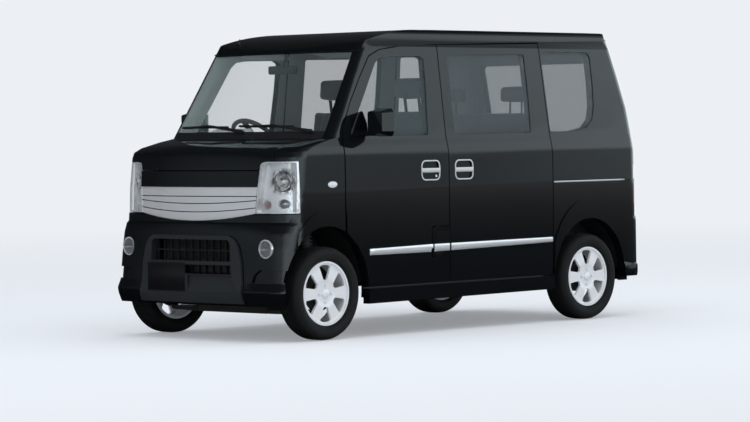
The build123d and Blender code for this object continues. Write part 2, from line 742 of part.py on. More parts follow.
with BuildPart() as bowls:
    for x, z, rim in lamp_bowls:
        with BuildSketch(Plane(origin=(x, lamp_back_y, z), x_dir=(1, 0, 0), z_dir=(0, 0, 1))):
            Polygon((0, 1), (0.4 * rim, 1), (0.66 * rim, -0.2 * rim), (0.88 * rim, -0.7 * rim),
                    (rim + 0.5, -240), (rim - bowl_wall, -240), (0.88 * rim - bowl_wall, -0.7 * rim),
                    (0.66 * rim - bowl_wall, -0.24 * rim), (0.36 * rim, -3), (0, -3), align=None)
        revolve(axis=Axis((x, lamp_back_y, z), (0, 1, 0)))
    add(wall_form, mode=Mode.INTERSECT)
with BuildPart() as headlamps:
    add(under_form)
    add(lamp_space.part, mode=Mode.INTERSECT)
    add(lamp_cavity.part, mode=Mode.SUBTRACT)
    add(lamp_bezel.part)
    add(bowls.part)
    mirror(about=Plane.YZ)
headlamps.part.label = "headlamps"
with BuildPart() as headlamp_lenses:
    add(outer_form)
    add(under_form, mode=Mode.SUBTRACT)
    add(lamp_space.part, mode=Mode.INTERSECT)
    mirror(about=Plane.YZ)
headlamp_lenses.part.label = "headlamp_lenses"

with BuildPart() as tail_lamps:
    add(thin.part)
    add(lamp_prism, mode=Mode.INTERSECT)
    mirror(about=Plane.YZ)
tail_lamps.part.label = "tail_lamps"

# ---- grille ----
with BuildPart() as nose_panel:
    add(thin.part)
    add(prism_y(((-510.4, grille_top_z), (510.4, grille_top_z), (517.9, 1007), (-517.9, 1007)),
                -1900, -1400), mode=Mode.INTERSECT)
nose_panel.part.label = "nose_panel"

# Each bar: top at the ends and the middle, bottom at the ends and the middle.
grille_bars = ((912.7, 912.8, 861.0, 860.0), (856.0, 855.0, 837.0, 817.0),
               (832.0, 812.0, 794.0, 767.0), (789.0, 762.0, 758.0, 713.0))


def grille_end(z):
    """Half the grille's width at height z, where it meets the headlamps."""
    return 498.5 - seam + (z - 757) * 22.5 / 283


with BuildPart() as grille_band:
    add(hull(6.0))
    add(hull(30.0), mode=Mode.SUBTRACT)
with BuildPart() as front_grille:
    with BuildSketch(Plane.XZ):
        for top_end, top_mid, low_end, low_mid in grille_bars:
            with BuildLine():
                top = ThreePointArc((-grille_end(top_end), top_end), (0, top_mid),
                                    (grille_end(top_end), top_end))
                low = ThreePointArc((grille_end(low_end), low_end), (0, low_mid),
                                    (-grille_end(low_end), low_end))
                Line(top @ 1, low @ 0)
                Line(low @ 1, top @ 0)
            make_face()
    extrude(amount=1900)
    add(grille_band.part, mode=Mode.INTERSECT)
front_grille.part.label = "front_grille"

# ---- front bumper ----
frame_lift = 14.0    # the frame round the lower grille stands proud of the bumper by this much
frame_outline = ((-446, 225), (-428, 470), (-404, 560), (-372, 606), (-330, 626), (330, 626),
                 (372, 606), (404, 560), (428, 470), (446, 225))
grille_open = ((-322, 602), (322, 602), (344, 580), (348, 474), (-348, 474), (-344, 580))
lower_open = ((-350, 452), (350, 452), (353, 397), (-353, 397))
visor_open = ((-14, 392), (356, 392), (404, 288), (-14, 278))
grille_y = -1646.0      # front of the lower grille, which is let into the bumper's back
pocket_depth = 12.0
corner_pocket = ((505, 350), (740, 354), (740, 424), (562, 428), (520, 394))
fog_x, fog_z, fog_r = 599.0, 550.0, 58.0
# The number plate's bracket, with two bolt holes in a line.
plate_x, plate_y, plate_z = -202.0, -1696.0, 375.5
plate_width, plate_height, plate_wall = 330.0, 175.0, 6.0
plate_top = plate_z + plate_height / 2
plate_bolt_z = 440.0
plate_pitch = 210.0
plate_hole_r = 3.25
with BuildPart() as bumper_frame:
    add(bumper_form(-frame_lift))
    add(bumper_form(4), mode=Mode.SUBTRACT)
    add(prism_y(frame_outline, nose_y, -1400), mode=Mode.INTERSECT)
    add(prism_y(visor_open, -1900, -1400), mode=Mode.SUBTRACT)
with BuildPart() as corner_pockets:
    add(prism_y(corner_pocket, -1900, -1300))
    add(bumper_form(pocket_depth), mode=Mode.SUBTRACT)
    mirror(about=Plane.YZ)
with BuildPart() as front_bumper:
    add(bumper_form(0))
    add(corner_pockets.part, mode=Mode.SUBTRACT)
    add(bumper_frame.part)
    add(bumper_form(bumper_wall), mode=Mode.SUBTRACT)
    add(block(-336, 336, grille_y - seam, -1500, 375, 623), mode=Mode.SUBTRACT)
    add(prism_x(bumper_side, -900, 900), mode=Mode.INTERSECT)
    add(prism_y(bumper_top, -1900, -1400), mode=Mode.INTERSECT)
    add(prism_y(grille_open, -1900, -1400), mode=Mode.SUBTRACT)
    add(prism_y(lower_open, -1900, -1400), mode=Mode.SUBTRACT)
    with BuildSketch(Plane.XZ):
        with Locations((-fog_x, fog_z), (fog_x, fog_z)):
            Circle(fog_r)
    extrude(amount=1900, mode=Mode.SUBTRACT)
    with BuildSketch(Plane.YZ):
        with Locations(front_arch[:2]):
            Ellipse(*front_arch[2:])
    extrude(amount=900, both=True, mode=Mode.SUBTRACT)
    add(block(plate_x - plate_width / 2 - 1, plate_x + plate_width / 2 + 1, -1900,
              plate_y + plate_wall + seam, plate_z - plate_height / 2 - 1, plate_top + 1),
        mode=Mode.SUBTRACT)
front_bumper.part.label = "front_bumper"

with BuildPart() as plate_bracket:
    with BuildSketch(Plane.XZ.offset(-plate_y)):
        with Locations((plate_x, plate_z)):
            RectangleRounded(plate_width, plate_height, 10)
        with Locations((plate_x - plate_pitch / 2, plate_bolt_z), (plate_x + plate_pitch / 2, plate_bolt_z)):
            Circle(plate_hole_r, mode=Mode.SUBTRACT)
    extrude(amount=-plate_wall)
plate_bracket.part.label = "plate_bracket"

with BuildPart() as fog_lamps:
    with BuildSketch(Plane.XZ.offset(1400)):
        with Locations((fog_x, fog_z)):
            Circle(fog_r - seam)
    extrude(amount=500)
    add(bumper_form(8), mode=Mode.INTERSECT)
    add(bumper_form(60), mode=Mode.SUBTRACT)
    mirror(about=Plane.YZ)
fog_lamps.part.label = "fog_lamps"

# ---- rear bumper and sill panel ----
with BuildPart() as rear_bumper:
    add(rear_bumper_form(0))
    add(wall_form, mode=Mode.SUBTRACT)
    add(prism_x(rear_bumper_side, -900, 900), mode=Mode.INTERSECT)
    add(block(-900, 900, 0, 1900, 264, 1900), mode=Mode.INTERSECT)
    with BuildSketch(Plane.YZ):
        with Locations(rear_arch[:2]):
            Ellipse(*rear_arch[2:])
    extrude(amount=900, both=True, mode=Mode.SUBTRACT)
rear_bumper.part.label = "rear_bumper"

with BuildPart() as side_skirts:
    add(proud_form)
    add(wall_form, mode=Mode.SUBTRACT)
    add(prism_x(((-905, 199), (794, 212), (794, 295.5), (-905, 290)), -900, 900), mode=Mode.INTERSECT)
    with BuildSketch(Plane.YZ):
        for arch in (front_arch, rear_arch):
            with Locations(arch[:2]):
                Ellipse(arch[2] + 1, arch[3] + 1)
    extrude(amount=900, both=True, mode=Mode.SUBTRACT)
side_skirts.part.label = "side_skirts"

# ---- floor and inner structure ----
floor_wall = 26.0
foot_z = 480.0
hump_z = 640.0
load_z = 600.0
hump_front_y = -720.0
hump_rear_y = -140.0
firewall_y = -1290.0
arch_x = 395.0       # inner wall of the front wheel housings
rear_arch_x = 500.0  # inner wall of the rear wheel housings
house_wall = 4.0
house_gap = 3.0
house_x = 667.5      # outer edge of the wheel housings
inner_x = half - wall - seat_gap - jamb_wall - seam

deck_lift = 4.0      # the load deck behind the rear bench lies this far above the floor
with BuildPart() as floor_pan:
    with BuildSketch(Plane.YZ.offset(-inner_x)):
        Polygon((firewall_y, foot_z), (hump_front_y, foot_z), (hump_front_y, hump_z),
                (hump_rear_y, hump_z), (hump_rear_y, load_z), (tail_y - 150, load_z),
                (tail_y - 150, load_z - floor_wall), (hump_rear_y - floor_wall, load_z - floor_wall),
                (hump_rear_y - floor_wall, hump_z - floor_wall),
                (hump_front_y + floor_wall, hump_z - floor_wall),
                (hump_front_y + floor_wall, foot_z - floor_wall), (firewall_y, foot_z - floor_wall),
                align=None)
    extrude(amount=2 * inner_x)
    with BuildSketch(Plane.XZ.offset(-firewall_y)):
        Polygon((-arch_x, foot_z - floor_wall), (arch_x, foot_z - floor_wall), (arch_x, 700),
                (656, 700), (656, 1150), (-656, 1150), (-656, 700), (-arch_x, 700), align=None)
    extrude(amount=-floor_wall)
    for side in (-1, 1):
        for x0, x1 in ((405, 470),):
            with BuildSketch(Plane.YZ.offset(side * x0 if side > 0 else -x1)):
                Polygon((-150, load_z - floor_wall), (tail_y - 160, load_z - floor_wall),
                        (tail_y - 160, load_z - 100), (-150, load_z - 100), align=None)
            extrude(amount=x1 - x0)
    with BuildSketch(Plane.XY.offset(100)):
        for side in (-1, 1):
            with Locations((side * (arch_x + 1000), front_axle + 20)):
                Rectangle(2000, 2 * (front_arch[2] + house_gap + house_wall) + 40)
    extrude(amount=600, mode=Mode.SUBTRACT)
    with BuildSketch(Plane.XY.offset(100)):
        for side in (-1, 1):
            with Locations((side * (rear_arch_x + 1000), rear_axle)):
                Rectangle(2000, 2 * (rear_arch[2] + house_gap + house_wall) + 1)
    extrude(amount=600, mode=Mode.SUBTRACT)
    add(block(-400, 400, 1010, 1530, load_z - 2, load_z + deck_lift))
floor_pan.part.label = "floor_pan"


def housing(arch, x0, x1):
    """A wheel housing: an arched liner with an inner wall, open below and outwards."""
    y, z, a, b = arch
    with BuildPart() as liner:
        with BuildSketch(Plane.YZ.offset(x0)):
            with Locations((y, z)):
                Ellipse(a + house_gap + house_wall, b + house_gap + house_wall)
        extrude(amount=x1 - x0)
        with BuildSketch(Plane.YZ.offset(x0 + house_wall)):
            with Locations((y, z)):
                Ellipse(a + house_gap, b + house_gap)
        extrude(amount=x1 - x0, mode=Mode.SUBTRACT)
        add(block(0, 900, y - 500, y + 500, -500, z + 45), mode=Mode.SUBTRACT)
        mirror(about=Plane.YZ)
    return liner.part


front_housings = housing(front_arch, arch_x + seam, house_x)
front_housings.label = "front_housings"
rear_housings = housing(rear_arch, rear_arch_x + seam, house_x)
rear_housings.label = "rear_housings"

# Side members, radiator support and bumper beam ahead of the firewall.
rail_x0, rail_x1 = 300.0, 352.0
support_y = -1530.0
beam_y = -1606.0
tow_x, tow_y, tow_z = 326.0, -1578.0, 302.0
tow_r = 14.0
tow_wall = 12.0
with BuildPart() as front_frame:
    for side in (-1, 1):
        with BuildSketch(Plane.XZ.offset(-(hump_front_y - 20))):
            with Locations((side * (rail_x0 + rail_x1) / 2, 415)):
                Rectangle(rail_x1 - rail_x0, 76)
        extrude(amount=hump_front_y - 20 - beam_y)
    with BuildSketch(Plane.XZ.offset(-support_y)):
        with Locations((0, 555)):
            Rectangle(2 * rail_x1, 356)
            Rectangle(2 * rail_x1 - 104, 356 - 90, mode=Mode.SUBTRACT)
    extrude(amount=26)
    with BuildSketch(Plane.XZ.offset(-support_y)):
        with Locations((0, 815)):
            Rectangle(940, 166)
            Rectangle(840, 90, mode=Mode.SUBTRACT)
    extrude(amount=26)
    with BuildSketch(Plane.XY.offset(405)):
        Polygon((-560, beam_y), (560, beam_y), (560, beam_y - 8), (420, beam_y - 21.7),
                (-420, beam_y - 21.7), (-560, beam_y - 8), align=None)
    extrude(amount=56)
    add(block(tow_x - 22, tow_x + 22, tow_y + 34, tow_y + 44, tow_z - tow_wall / 2, 378))
    with BuildSketch(Plane.XY.offset(tow_z - tow_wall / 2)):
        with Locations((tow_x, tow_y)):
            Circle(tow_r + 12)
        with Locations((tow_x, tow_y + 22)):
            Rectangle(44, 44)
        with Locations((tow_x, tow_y)):
            Circle(tow_r, mode=Mode.SUBTRACT)
    extrude(amount=tow_wall)
front_frame.part.label = "front_frame"

with BuildPart() as radiator:
    with BuildSketch(Plane.XZ.offset(-(support_y - 26 - seam))):
        with Locations((0, 590)):
            Rectangle(640, 260)
    extrude(amount=36)
radiator.part.label = "radiator"

# ---- wheels ----
front_wheel_x = track_front / 2
rear_wheel_x = track_rear / 2
spoke_count = 6
bore_r = 20.0
spindle_fit = 0.05
nut_r = 10.0
cap_r = 27.0
face_in = 14.0       # the spokes' face lies this far inside the rim's outer edge
disc_r = 112.0
drum_r = 98.0


def rim_at(side, axle_y, x_mid, brake_r, brake_x0, brake_x1):
    """A six-spoke wheel with its brake's turning part, outer face towards +X * side."""
    w = rim_width / 2
    with BuildPart() as rim:
        with BuildSketch(Plane.XY):
            with BuildLine():
                Polyline((w, rim_r), (w, rim_r - 12), (w - 8, rim_r - 16), (-w, rim_r - 16), (-w, rim_r),
                         (-w + 6, rim_r), (-w + 10, rim_r - 11), (w - 10, rim_r - 11), (w - 6, rim_r),
                         (w, rim_r))
            make_face()
        revolve(axis=Axis.X)
        with BuildSketch(Plane.XY):
            with BuildLine():
                Polyline((w - face_in - 22, bore_r), (w - face_in + 2, bore_r), (w - face_in + 2, 60),
                         (w - face_in + 6, 88), (w - face_in + 4, rim_r - 30), (w - 9, rim_r - 14),
                         (w - 26, rim_r - 14), (w - face_in - 10, 66), (w - face_in - 22, bore_r))
            make_face()
        revolve(axis=Axis.X)
        with BuildSketch(Plane.YZ.offset(-w)):
            with PolarLocations(0, spoke_count, start_angle=30):
                Polygon((84, -17), (rim_r - 34, -46), (rim_r - 24, -30), (rim_r - 21, 0),
                        (rim_r - 24, 30), (rim_r - 34, 46), (84, 17), (78, 0), align=None)
        extrude(amount=3 * w, mode=Mode.SUBTRACT)
        with BuildSketch(Plane.YZ.offset(w - face_in - 4)):
            with PolarLocations(bolt_circle / 2, 4):
                RegularPolygon(nut_r, 6)
        extrude(amount=12)
        with BuildSketch(Plane.YZ.offset(w - face_in - 1)):
            Circle(cap_r)
        extrude(amount=8)
        with BuildSketch(Plane.XY):
            with BuildLine():
                Polyline((brake_x0, bore_r), (w - face_in - 21, bore_r), (w - face_in - 21, 60),
                         (brake_x1, 60), (brake_x1, brake_r), (brake_x0, brake_r), (brake_x0, bore_r))
            make_face()
        revolve(axis=Axis.X)
    turned = rim.part if side > 0 else rim.part.mirror(Plane.YZ)
    return Pos(side * x_mid, axle_y, hub_z) * turned


def tyre_at(side, axle_y, x_mid):
    """A tyre on its rim, with shouldered tread and bulged sidewalls."""
    h = tyre_width / 2
    with BuildPart() as tyre:
        with BuildSketch(Plane.XY):
            with BuildLine():
                Polyline((-50, rim_r - 10.7), (-h, 236), (-h + 13, 267), (-h + 36, tyre_r),
                         (h - 36, tyre_r), (h - 13, 267), (h, 236), (50, rim_r - 10.7),
                         (-50, rim_r - 10.7))
            make_face()
        revolve(axis=Axis.X)
    return Pos(side * x_mid, axle_y, hub_z) * tyre.part


rims, tyres = {}, {}
for end, axle_y, x_mid, brake in (
    ("front", front_axle, front_wheel_x, (disc_r, -14, -4)),
    ("rear", rear_axle, rear_wheel_x, (drum_r, -52, 0)),
):
    for name, side in (("left", 1), ("right", -1)):
        rims[f"rim_{end}_{name}"] = rim_at(side, axle_y, x_mid, *brake)
        tyres[f"tyre_{end}_{name}"] = tyre_at(side, axle_y, x_mid)

# ---- front suspension ----
pin_low = Vector(600, front_axle, 195)
pin_high = Vector(491, front_axle + 30, 700)
pin_dir = (pin_high - pin_low).normalized()
strut_r = 24.0
strut_rod_r = 10.0
strut_fit = 0.05
spindle_r = bore_r - spindle_fit


def on_pin(distance):
    """A point on the left kingpin line, this far above its foot."""
    return pin_low + pin_dir * distance


with BuildPart() as knuckle_left:
    add(rod(on_pin(40), on_pin(330), strut_r))
    add(block(566, 618, front_axle - 26, front_axle + 26, hub_z - 36, hub_z + 36))
    with BuildSketch(Plane.YZ.offset(front_wheel_x - 100)):
        with Locations((front_axle, hub_z)):
            Circle(spindle_r)
    extrude(amount=100 + rim_width / 2 - face_in - 6)
    add(block(570, 600, front_axle + 20, front_axle + 120, 226, 244))
    add(rod(on_pin(-20), on_pin(42), 17))
    add(rod(on_pin(150), on_pin(400), strut_rod_r + strut_fit), mode=Mode.SUBTRACT)
    add(rod(on_pin(-60), on_pin(10), 8 + strut_fit), mode=Mode.SUBTRACT)
knuckle_left.part.label = "knuckle_left"
with BuildPart() as knuckle_right:
    mirror(knuckle_left.part, about=Plane.YZ)
knuckle_right.part.label = "knuckle_right"

with BuildPart() as strut_mount:
    with BuildSketch(Plane.XY.offset(600)):
        with Locations((on_pin(460).X, on_pin(460).Y)):
            Circle(48)
    extrude(amount=120)
    with BuildSketch(Plane.YZ.offset(arch_x + 10)):
        with Locations(front_arch[:2]):
            Ellipse(front_arch[2] + house_gap - seam, front_arch[3] + house_gap - seam)
    extrude(amount=200, mode=Mode.INTERSECT)
    add(block(0, 900, -1900, 0, 0, 640), mode=Mode.SUBTRACT)
with BuildPart() as front_suspension:
    add(rod(on_pin(180), on_pin(470), strut_rod_r))
    add(rod(on_pin(345), on_pin(352), 52))
    add(rod(on_pin(350), on_pin(462), 34))
    for step in range(4):
        add(rod(on_pin(364 + 22 * step), on_pin(378 + 22 * step), 46))
    add(rod(on_pin(-40), on_pin(8), 8))
    add(rod(on_pin(-44), on_pin(-21), 22))
    add(strut_mount.part)
    with BuildSketch(Plane.XY.offset(148)):
        Polygon((602, front_axle - 22), (602, front_axle + 22), (330, front_axle + 190),
                (300, front_axle + 190), (300, front_axle + 60), (420, front_axle + 20),
                (300, front_axle - 40), (300, front_axle - 80), (360, front_axle - 80), align=None)
    extrude(amount=22)
    mirror(about=Plane.YZ)
    with BuildSketch(Plane.XY.offset(148)):
        with Locations((0, front_axle + 60)):
            Rectangle(601, 300)
            Rectangle(440, 180, mode=Mode.SUBTRACT)
    extrude(amount=60)
front_suspension.part.label = "front_suspension"

# ---- rear axle ----
axle_r = 34.0
spring_y = rear_axle
with BuildPart() as rear_suspension:
    with BuildSketch(Plane.YZ.offset(-rear_wheel_x + 60)):
        with Locations((rear_axle, hub_z)):
            Circle(axle_r)
    extrude(amount=2 * rear_wheel_x - 120)
    with BuildSketch(Plane.YZ.offset(-rear_wheel_x - rim_width / 2 + face_in + 6)):
        with Locations((rear_axle, hub_z)):
            Circle(spindle_r)
    extrude(amount=2 * rear_wheel_x + rim_width - 2 * face_in - 12)
    with BuildSketch(Plane.YZ.offset(-80)):
        with Locations((rear_axle, hub_z)):
            Circle(112)
    extrude(amount=140)
    with BuildSketch(Plane.XY.offset(hub_z + 20)):
        for x in (-437, 437):
            with Locations((x, spring_y)):
                Circle(50)
                Circle(38, mode=Mode.SUBTRACT)
    extrude(amount=load_z - 100 - seam - hub_z - 20)
    for x in (-437, 437):
        add(block(x - 56, x + 56, spring_y - 56, spring_y + 56, hub_z + 10, hub_z + 26))
        add(rod((x, rear_axle + 90, 210), (x, rear_axle + 150, 488), 22))
        add(block(x - 30, x + 30, rear_axle, rear_axle + 110, 196, 226))
        add(block(x - 20, x + 20, rear_axle - 20, rear_axle + 20, 196, 290))
        add(block(x - 20, x + 20, rear_axle - 620, rear_axle, hub_z - 60, hub_z - 20))
        add(block(x - 20, x + 20, rear_axle - 640, rear_axle - 590, hub_z - 60, 499.7))
rear_suspension.part.label = "rear_suspension"

# ---- driveline, tank and exhaust ----
with BuildPart() as engine_block:
    add(block(-300, 180, -660, -170, 330, 605))
    add(block(-110, 60, -171, 180, 345, 520))
    add(block(-298, -240, -700, -500, 376, 450))
    add(block(240 - 60, 299.7, -640, -560, 380, 440))
engine_block.part.label = "engine_block"

with BuildPart() as propshaft:
    add(rod((-25, 180.3, 430), (-25, 215, 430), 34))
    add(rod((-25, 205, 430), (-5, rear_axle - 130, hub_z + 5), 28))
    add(rod((-5, rear_axle - 140, hub_z + 5), (-5, rear_axle - 112.3, hub_z + 5), 36))
propshaft.part.label = "propshaft"

with BuildPart() as fuel_tank:
    with BuildSketch(Plane.XY.offset(300)):
        with Locations((255, 420)):
            RectangleRounded(290, 560, 50)
    extrude(amount=load_z - floor_wall - seam - 300)
fuel_tank.part.label = "fuel_tank"

with BuildPart() as exhaust:
    with BuildSketch(Plane.XZ.offset(-960)):
        with Locations((-255, 380)):
            RectangleRounded(240, 140, 69)
    extrude(amount=560)
    with BuildSketch(Plane.XZ.offset(-401)):
        with Locations((-255, 390)):
            Circle(22)
    extrude(amount=545)
    with BuildSketch(Plane.XZ.offset(-(tail_y - 110))):
        with Locations((-255, 400)):
            Circle(20)
    extrude(amount=tail_y - 110 - 960 + 5)
    for y in (520, 900):
        add(block(-265, -245, y, y + 30, 440, load_z - floor_wall - seam))
exhaust.part.label = "exhaust"

# ---- inside ----
dash_z = 1205.0
with BuildPart() as dashboard:
    with BuildSketch(Plane.YZ.offset(-inner_x + 42)):
        Polygon((firewall_y + floor_wall + seam, 840), (-1150, 800), (-1010, 860), (-960, 1010),
                (-930, 1110), (-945, 1170), (-1000, dash_z), (-1145, dash_z - 4), (-1150, 1176),
                (-1226, 1154), (firewall_y + floor_wall + seam, 1138), align=None)
    extrude(amount=2 * inner_x - 84)
    add(cabin_form, mode=Mode.INTERSECT)
    add(block(-120, 120, -1080, -900, 800, 1060))
dashboard.part.label = "dashboard"

wheel_x = -330.0
wheel_tilt = 42.0
column_dir = Vector(0, -sin(radians(90 - wheel_tilt)), -cos(radians(90 - wheel_tilt)))
wheel_centre = Vector(wheel_x, -800, 1175)
grip_r = 178.0
column_r = 24.0
shaft_r = 9.0
with BuildPart() as steering_wheel:
    with BuildSketch(Plane(origin=wheel_centre, x_dir=(1, 0, 0), z_dir=-column_dir)):
        Circle(58)
    extrude(amount=22, both=True)
    wheel_plane = Plane(origin=wheel_centre, x_dir=(1, 0, 0), z_dir=-column_dir)
    with BuildSketch(Plane(origin=wheel_centre, x_dir=(1, 0, 0), z_dir=wheel_plane.y_dir)) as grip:
        with Locations((grip_r, 0)):
            RegularPolygon(14.5, 8)
    revolve(axis=Axis(wheel_centre, -column_dir))
    with BuildSketch(wheel_plane):
        for turn in (0, 180, 270):
            with Locations(Rotation(0, 0, turn) * Pos((grip_r + 40) / 2, 0)):
                Rectangle(grip_r - 42, 34)
    extrude(amount=8, both=True)
    with BuildSketch(wheel_plane):
        Circle(shaft_r)
    extrude(amount=-150)
steering_wheel.part.label = "steering_wheel"
with BuildPart() as steering_column:
    with BuildSketch(wheel_plane.offset(-32)):
        Circle(column_r)
        Circle(shaft_r + strut_fit, mode=Mode.SUBTRACT)
    extrude(amount=-190)
    add(dashboard.part, mode=Mode.SUBTRACT)
steering_column.part.label = "steering_column"

seat_x = 330.0
seat_width = 480.0
with BuildPart() as front_seats:
    with BuildSketch(Plane.YZ.offset(seat_x - seat_width / 2)) as cushion:
        Polygon((-690, 700), (-700, 790), (-640, 815), (-300, 775), (-215, 790), (-170, 1100),
                (-100, 1390), (-30, 1384), (-60, 1100), (-110, 760), (-150, 690), align=None)
        fillet(cushion.vertices().sort_by(Axis.Y)[:2], 30)
    extrude(amount=seat_width)
    add(block(seat_x - 140, seat_x + 140, -150, -40, 1425, 1572))
    for x in (seat_x - 60, seat_x + 60):
        add(rod((x, -75, 1370), (x, -95, 1440), 6))
    add(block(seat_x - 200, seat_x + 200, -640, -180, hump_z + seam, 720))
    mirror(about=Plane.YZ)
front_seats.part.label = "front_seats"

with BuildPart() as rear_bench:
    with BuildSketch(Plane.YZ.offset(-560)) as cushion:
        Polygon((330, 860), (320, 940), (380, 965), (760, 925), (840, 1150), (905, 1370), (975, 1360),
                (930, 1100), (860, 850), align=None)
    extrude(amount=1120)
    for x in (-290, 290):
        add(block(x - 135, x + 135, 890, 985, 1400, 1520))
        for dx in (-50, 50):
            add(rod((x + dx, 935, 1350), (x + dx, 937, 1410), 6))
        add(block(x - 180, x + 180, 420, 480, load_z + seam, 870))
        add(block(x - 180, x + 180, 740, 800, load_z + seam, 870))
rear_bench.part.label = "rear_bench"

# ---- outer details ----
with BuildPart() as lower_grille:
    with BuildSketch(Plane.XZ.offset(-(beam_y - 22))):
        for x in range(-330, 331, 60):
            with Locations((x, 500)):
                Rectangle(8, 236)
        with Locations((0, 536)):
            Rectangle(670, 8)
        with Locations((0, 460)):
            Rectangle(670, 16)
        for z in (382, 616):
            with Locations((0, z)):
                Rectangle(670, 12)
    extrude(amount=18)
lower_grille.part.label = "lower_grille"

mirror_seat = hull(-seam)
with BuildPart() as door_mirror_left:
    with BuildSketch(Plane.XZ.offset(850)):
        with Locations((822, 1284)):
            RectangleRounded(156, 168, 32)
    extrude(amount=85, taper=12)
    add(block(690, 790, -935, -880, 1206, 1236))
    add(prism_x(((-1016, 1203), (-880, 1203), (-888, 1280), (-925, 1352)), 640, 712))
    add(mirror_seat, mode=Mode.SUBTRACT)
door_mirror_left.part.label = "door_mirror_left"
with BuildPart() as door_mirror_right:
    mirror(door_mirror_left.part, about=Plane.YZ)
door_mirror_right.part.label = "door_mirror_right"

for name in (
    front_door_left, front_door_right, door_glass_left, door_glass_right, door_mirror_left,
    door_mirror_right, side_body_left, side_body_right, fuel_filler, fuel_lid, sliding_door_left,
    sliding_door_right, side_glass, front_fender_left, front_fender_right, roof_panel, tailgate,
    tailgate_glass, bonnet, cowl_panel, windscreen, headlamps, headlamp_lenses, tail_lamps,
    nose_panel, front_grille, front_bumper, fog_lamps, rear_bumper, side_skirts, floor_pan,
    front_frame, radiator,
    knuckle_left, knuckle_right, front_suspension, rear_suspension, engine_block, propshaft,
    fuel_tank, exhaust, dashboard, steering_wheel, steering_column, front_seats, rear_bench,
    lower_grille, plate_bracket,
):
    export_step(name.part, f"parts/{name.part.label}.step")
for name in (front_housings, rear_housings):
    export_step(name, f"parts/{name.label}.step")
for label, shape in {**rims, **tyres}.items():
    shape.label = label
    export_step(shape, f"parts/{label}.step")
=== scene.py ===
import bpy
import bmesh
import json
from math import cos, pi, radians, sin, sqrt, tau
from mathutils import Matrix, Vector
from mathutils.bvhtree import BVHTree


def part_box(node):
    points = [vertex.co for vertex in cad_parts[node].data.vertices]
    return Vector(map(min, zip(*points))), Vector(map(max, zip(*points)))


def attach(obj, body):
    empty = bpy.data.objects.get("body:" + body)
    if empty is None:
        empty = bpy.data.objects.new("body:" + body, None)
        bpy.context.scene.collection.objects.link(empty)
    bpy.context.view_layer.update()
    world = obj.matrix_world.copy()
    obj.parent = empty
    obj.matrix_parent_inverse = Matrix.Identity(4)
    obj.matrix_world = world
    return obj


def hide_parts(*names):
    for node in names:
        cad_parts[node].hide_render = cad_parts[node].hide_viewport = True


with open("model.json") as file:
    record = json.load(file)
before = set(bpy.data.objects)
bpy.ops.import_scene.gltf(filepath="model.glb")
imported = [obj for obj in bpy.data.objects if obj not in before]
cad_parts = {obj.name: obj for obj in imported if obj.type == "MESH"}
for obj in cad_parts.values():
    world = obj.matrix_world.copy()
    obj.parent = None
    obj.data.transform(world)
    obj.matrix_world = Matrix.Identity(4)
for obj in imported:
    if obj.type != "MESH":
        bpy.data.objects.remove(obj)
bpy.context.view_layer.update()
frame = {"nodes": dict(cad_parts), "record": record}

# ---- Studio ----
# A pale floor under a pale backdrop, one camera ahead of and to the left of the van, a large soft box overhead, one
# in front and a long one high behind the left flank; what the gloss mirrors is the backdrop alone.
stage_white = (0.84, 0.87, 0.91)
picture_width, picture_height = 750, 422
focal_pixels, sight_x, sight_y = 3139.5, 391.8, 197.4
sensor = 36.0
camera_data = bpy.data.cameras.new("camera")
camera_data.sensor_width = sensor
camera_data.lens = focal_pixels / picture_width * sensor
camera_data.shift_x = (picture_width / 2 - sight_x) / picture_width
camera_data.shift_y = (sight_y - picture_height / 2) / picture_width
camera_data.clip_end = 200
camera = bpy.data.objects.new("camera", camera_data)
bpy.context.scene.collection.objects.link(camera)
azimuth, elevation, roll = radians(43.794), radians(1.242), radians(-0.735)
back = Vector((sin(azimuth) * cos(elevation), -cos(azimuth) * cos(elevation), sin(elevation)))
right = Vector((0, 0, 1)).cross(back).normalized()
up = back.cross(right)
view_x = right * cos(roll) + up * sin(roll)
view_y = up * cos(roll) - right * sin(roll)
turned = Matrix((view_x, view_y, back)).transposed().to_4x4()
camera.matrix_world = Matrix.Translation((13.8309, -14.3652, 1.2421)) @ turned
bpy.context.scene.camera = camera
bpy.context.scene.view_settings.view_transform = "Standard"


class Flow:
    """A socket in a material's node tree; arithmetic on it adds Math nodes."""

    def __init__(self, tree, socket):
        self.tree, self.socket = tree, socket

    def node(self, kind, inputs={}, out=0, **settings):
        """Adds one node: its settings first, then the values or links of its sockets."""
        made = self.tree.nodes.new("ShaderNode" + kind)
        stops = settings.pop("stops", None)
        for name, value in settings.items():
            setattr(made, name, value)
        if stops:
            while len(made.color_ramp.elements) < len(stops):
                made.color_ramp.elements.new(0.5)
            for stop, (place, shade) in zip(made.color_ramp.elements, stops):
                stop.position, stop.color = place, (*([shade] * 3 if isinstance(shade, float) else shade), 1)
        for name, value in inputs.items():
            if isinstance(value, Flow):
                self.tree.links.new(value.socket, made.inputs[name])
            else:
                made.inputs[name].default_value = value
        return Flow(self.tree, made.outputs[out])

    def math(self, operation, *values):
        return self.node("Math", dict(enumerate(values)), operation=operation)

    def __add__(self, other):
        return self.math("ADD", self, other)

    def __sub__(self, other):
        return self.math("SUBTRACT", self, other)

    def __rsub__(self, other):
        return self.math("SUBTRACT", other, self)

    def __mul__(self, other):
        return self.math("MULTIPLY", self, other)

    def __gt__(self, other):
        return self.math("GREATER_THAN", self, other)

    __radd__, __rmul__ = __add__, __mul__


def feed(shader, socket, value):
    """Links a value that varies over the surface to one of the shader's sockets."""
    value.tree.links.new(value.socket, shader.inputs[socket])


def axes(place):
    """A position's X, Y and Z."""
    return [place.node("SeparateXYZ", {0: place}, out=axis) for axis in range(3)]


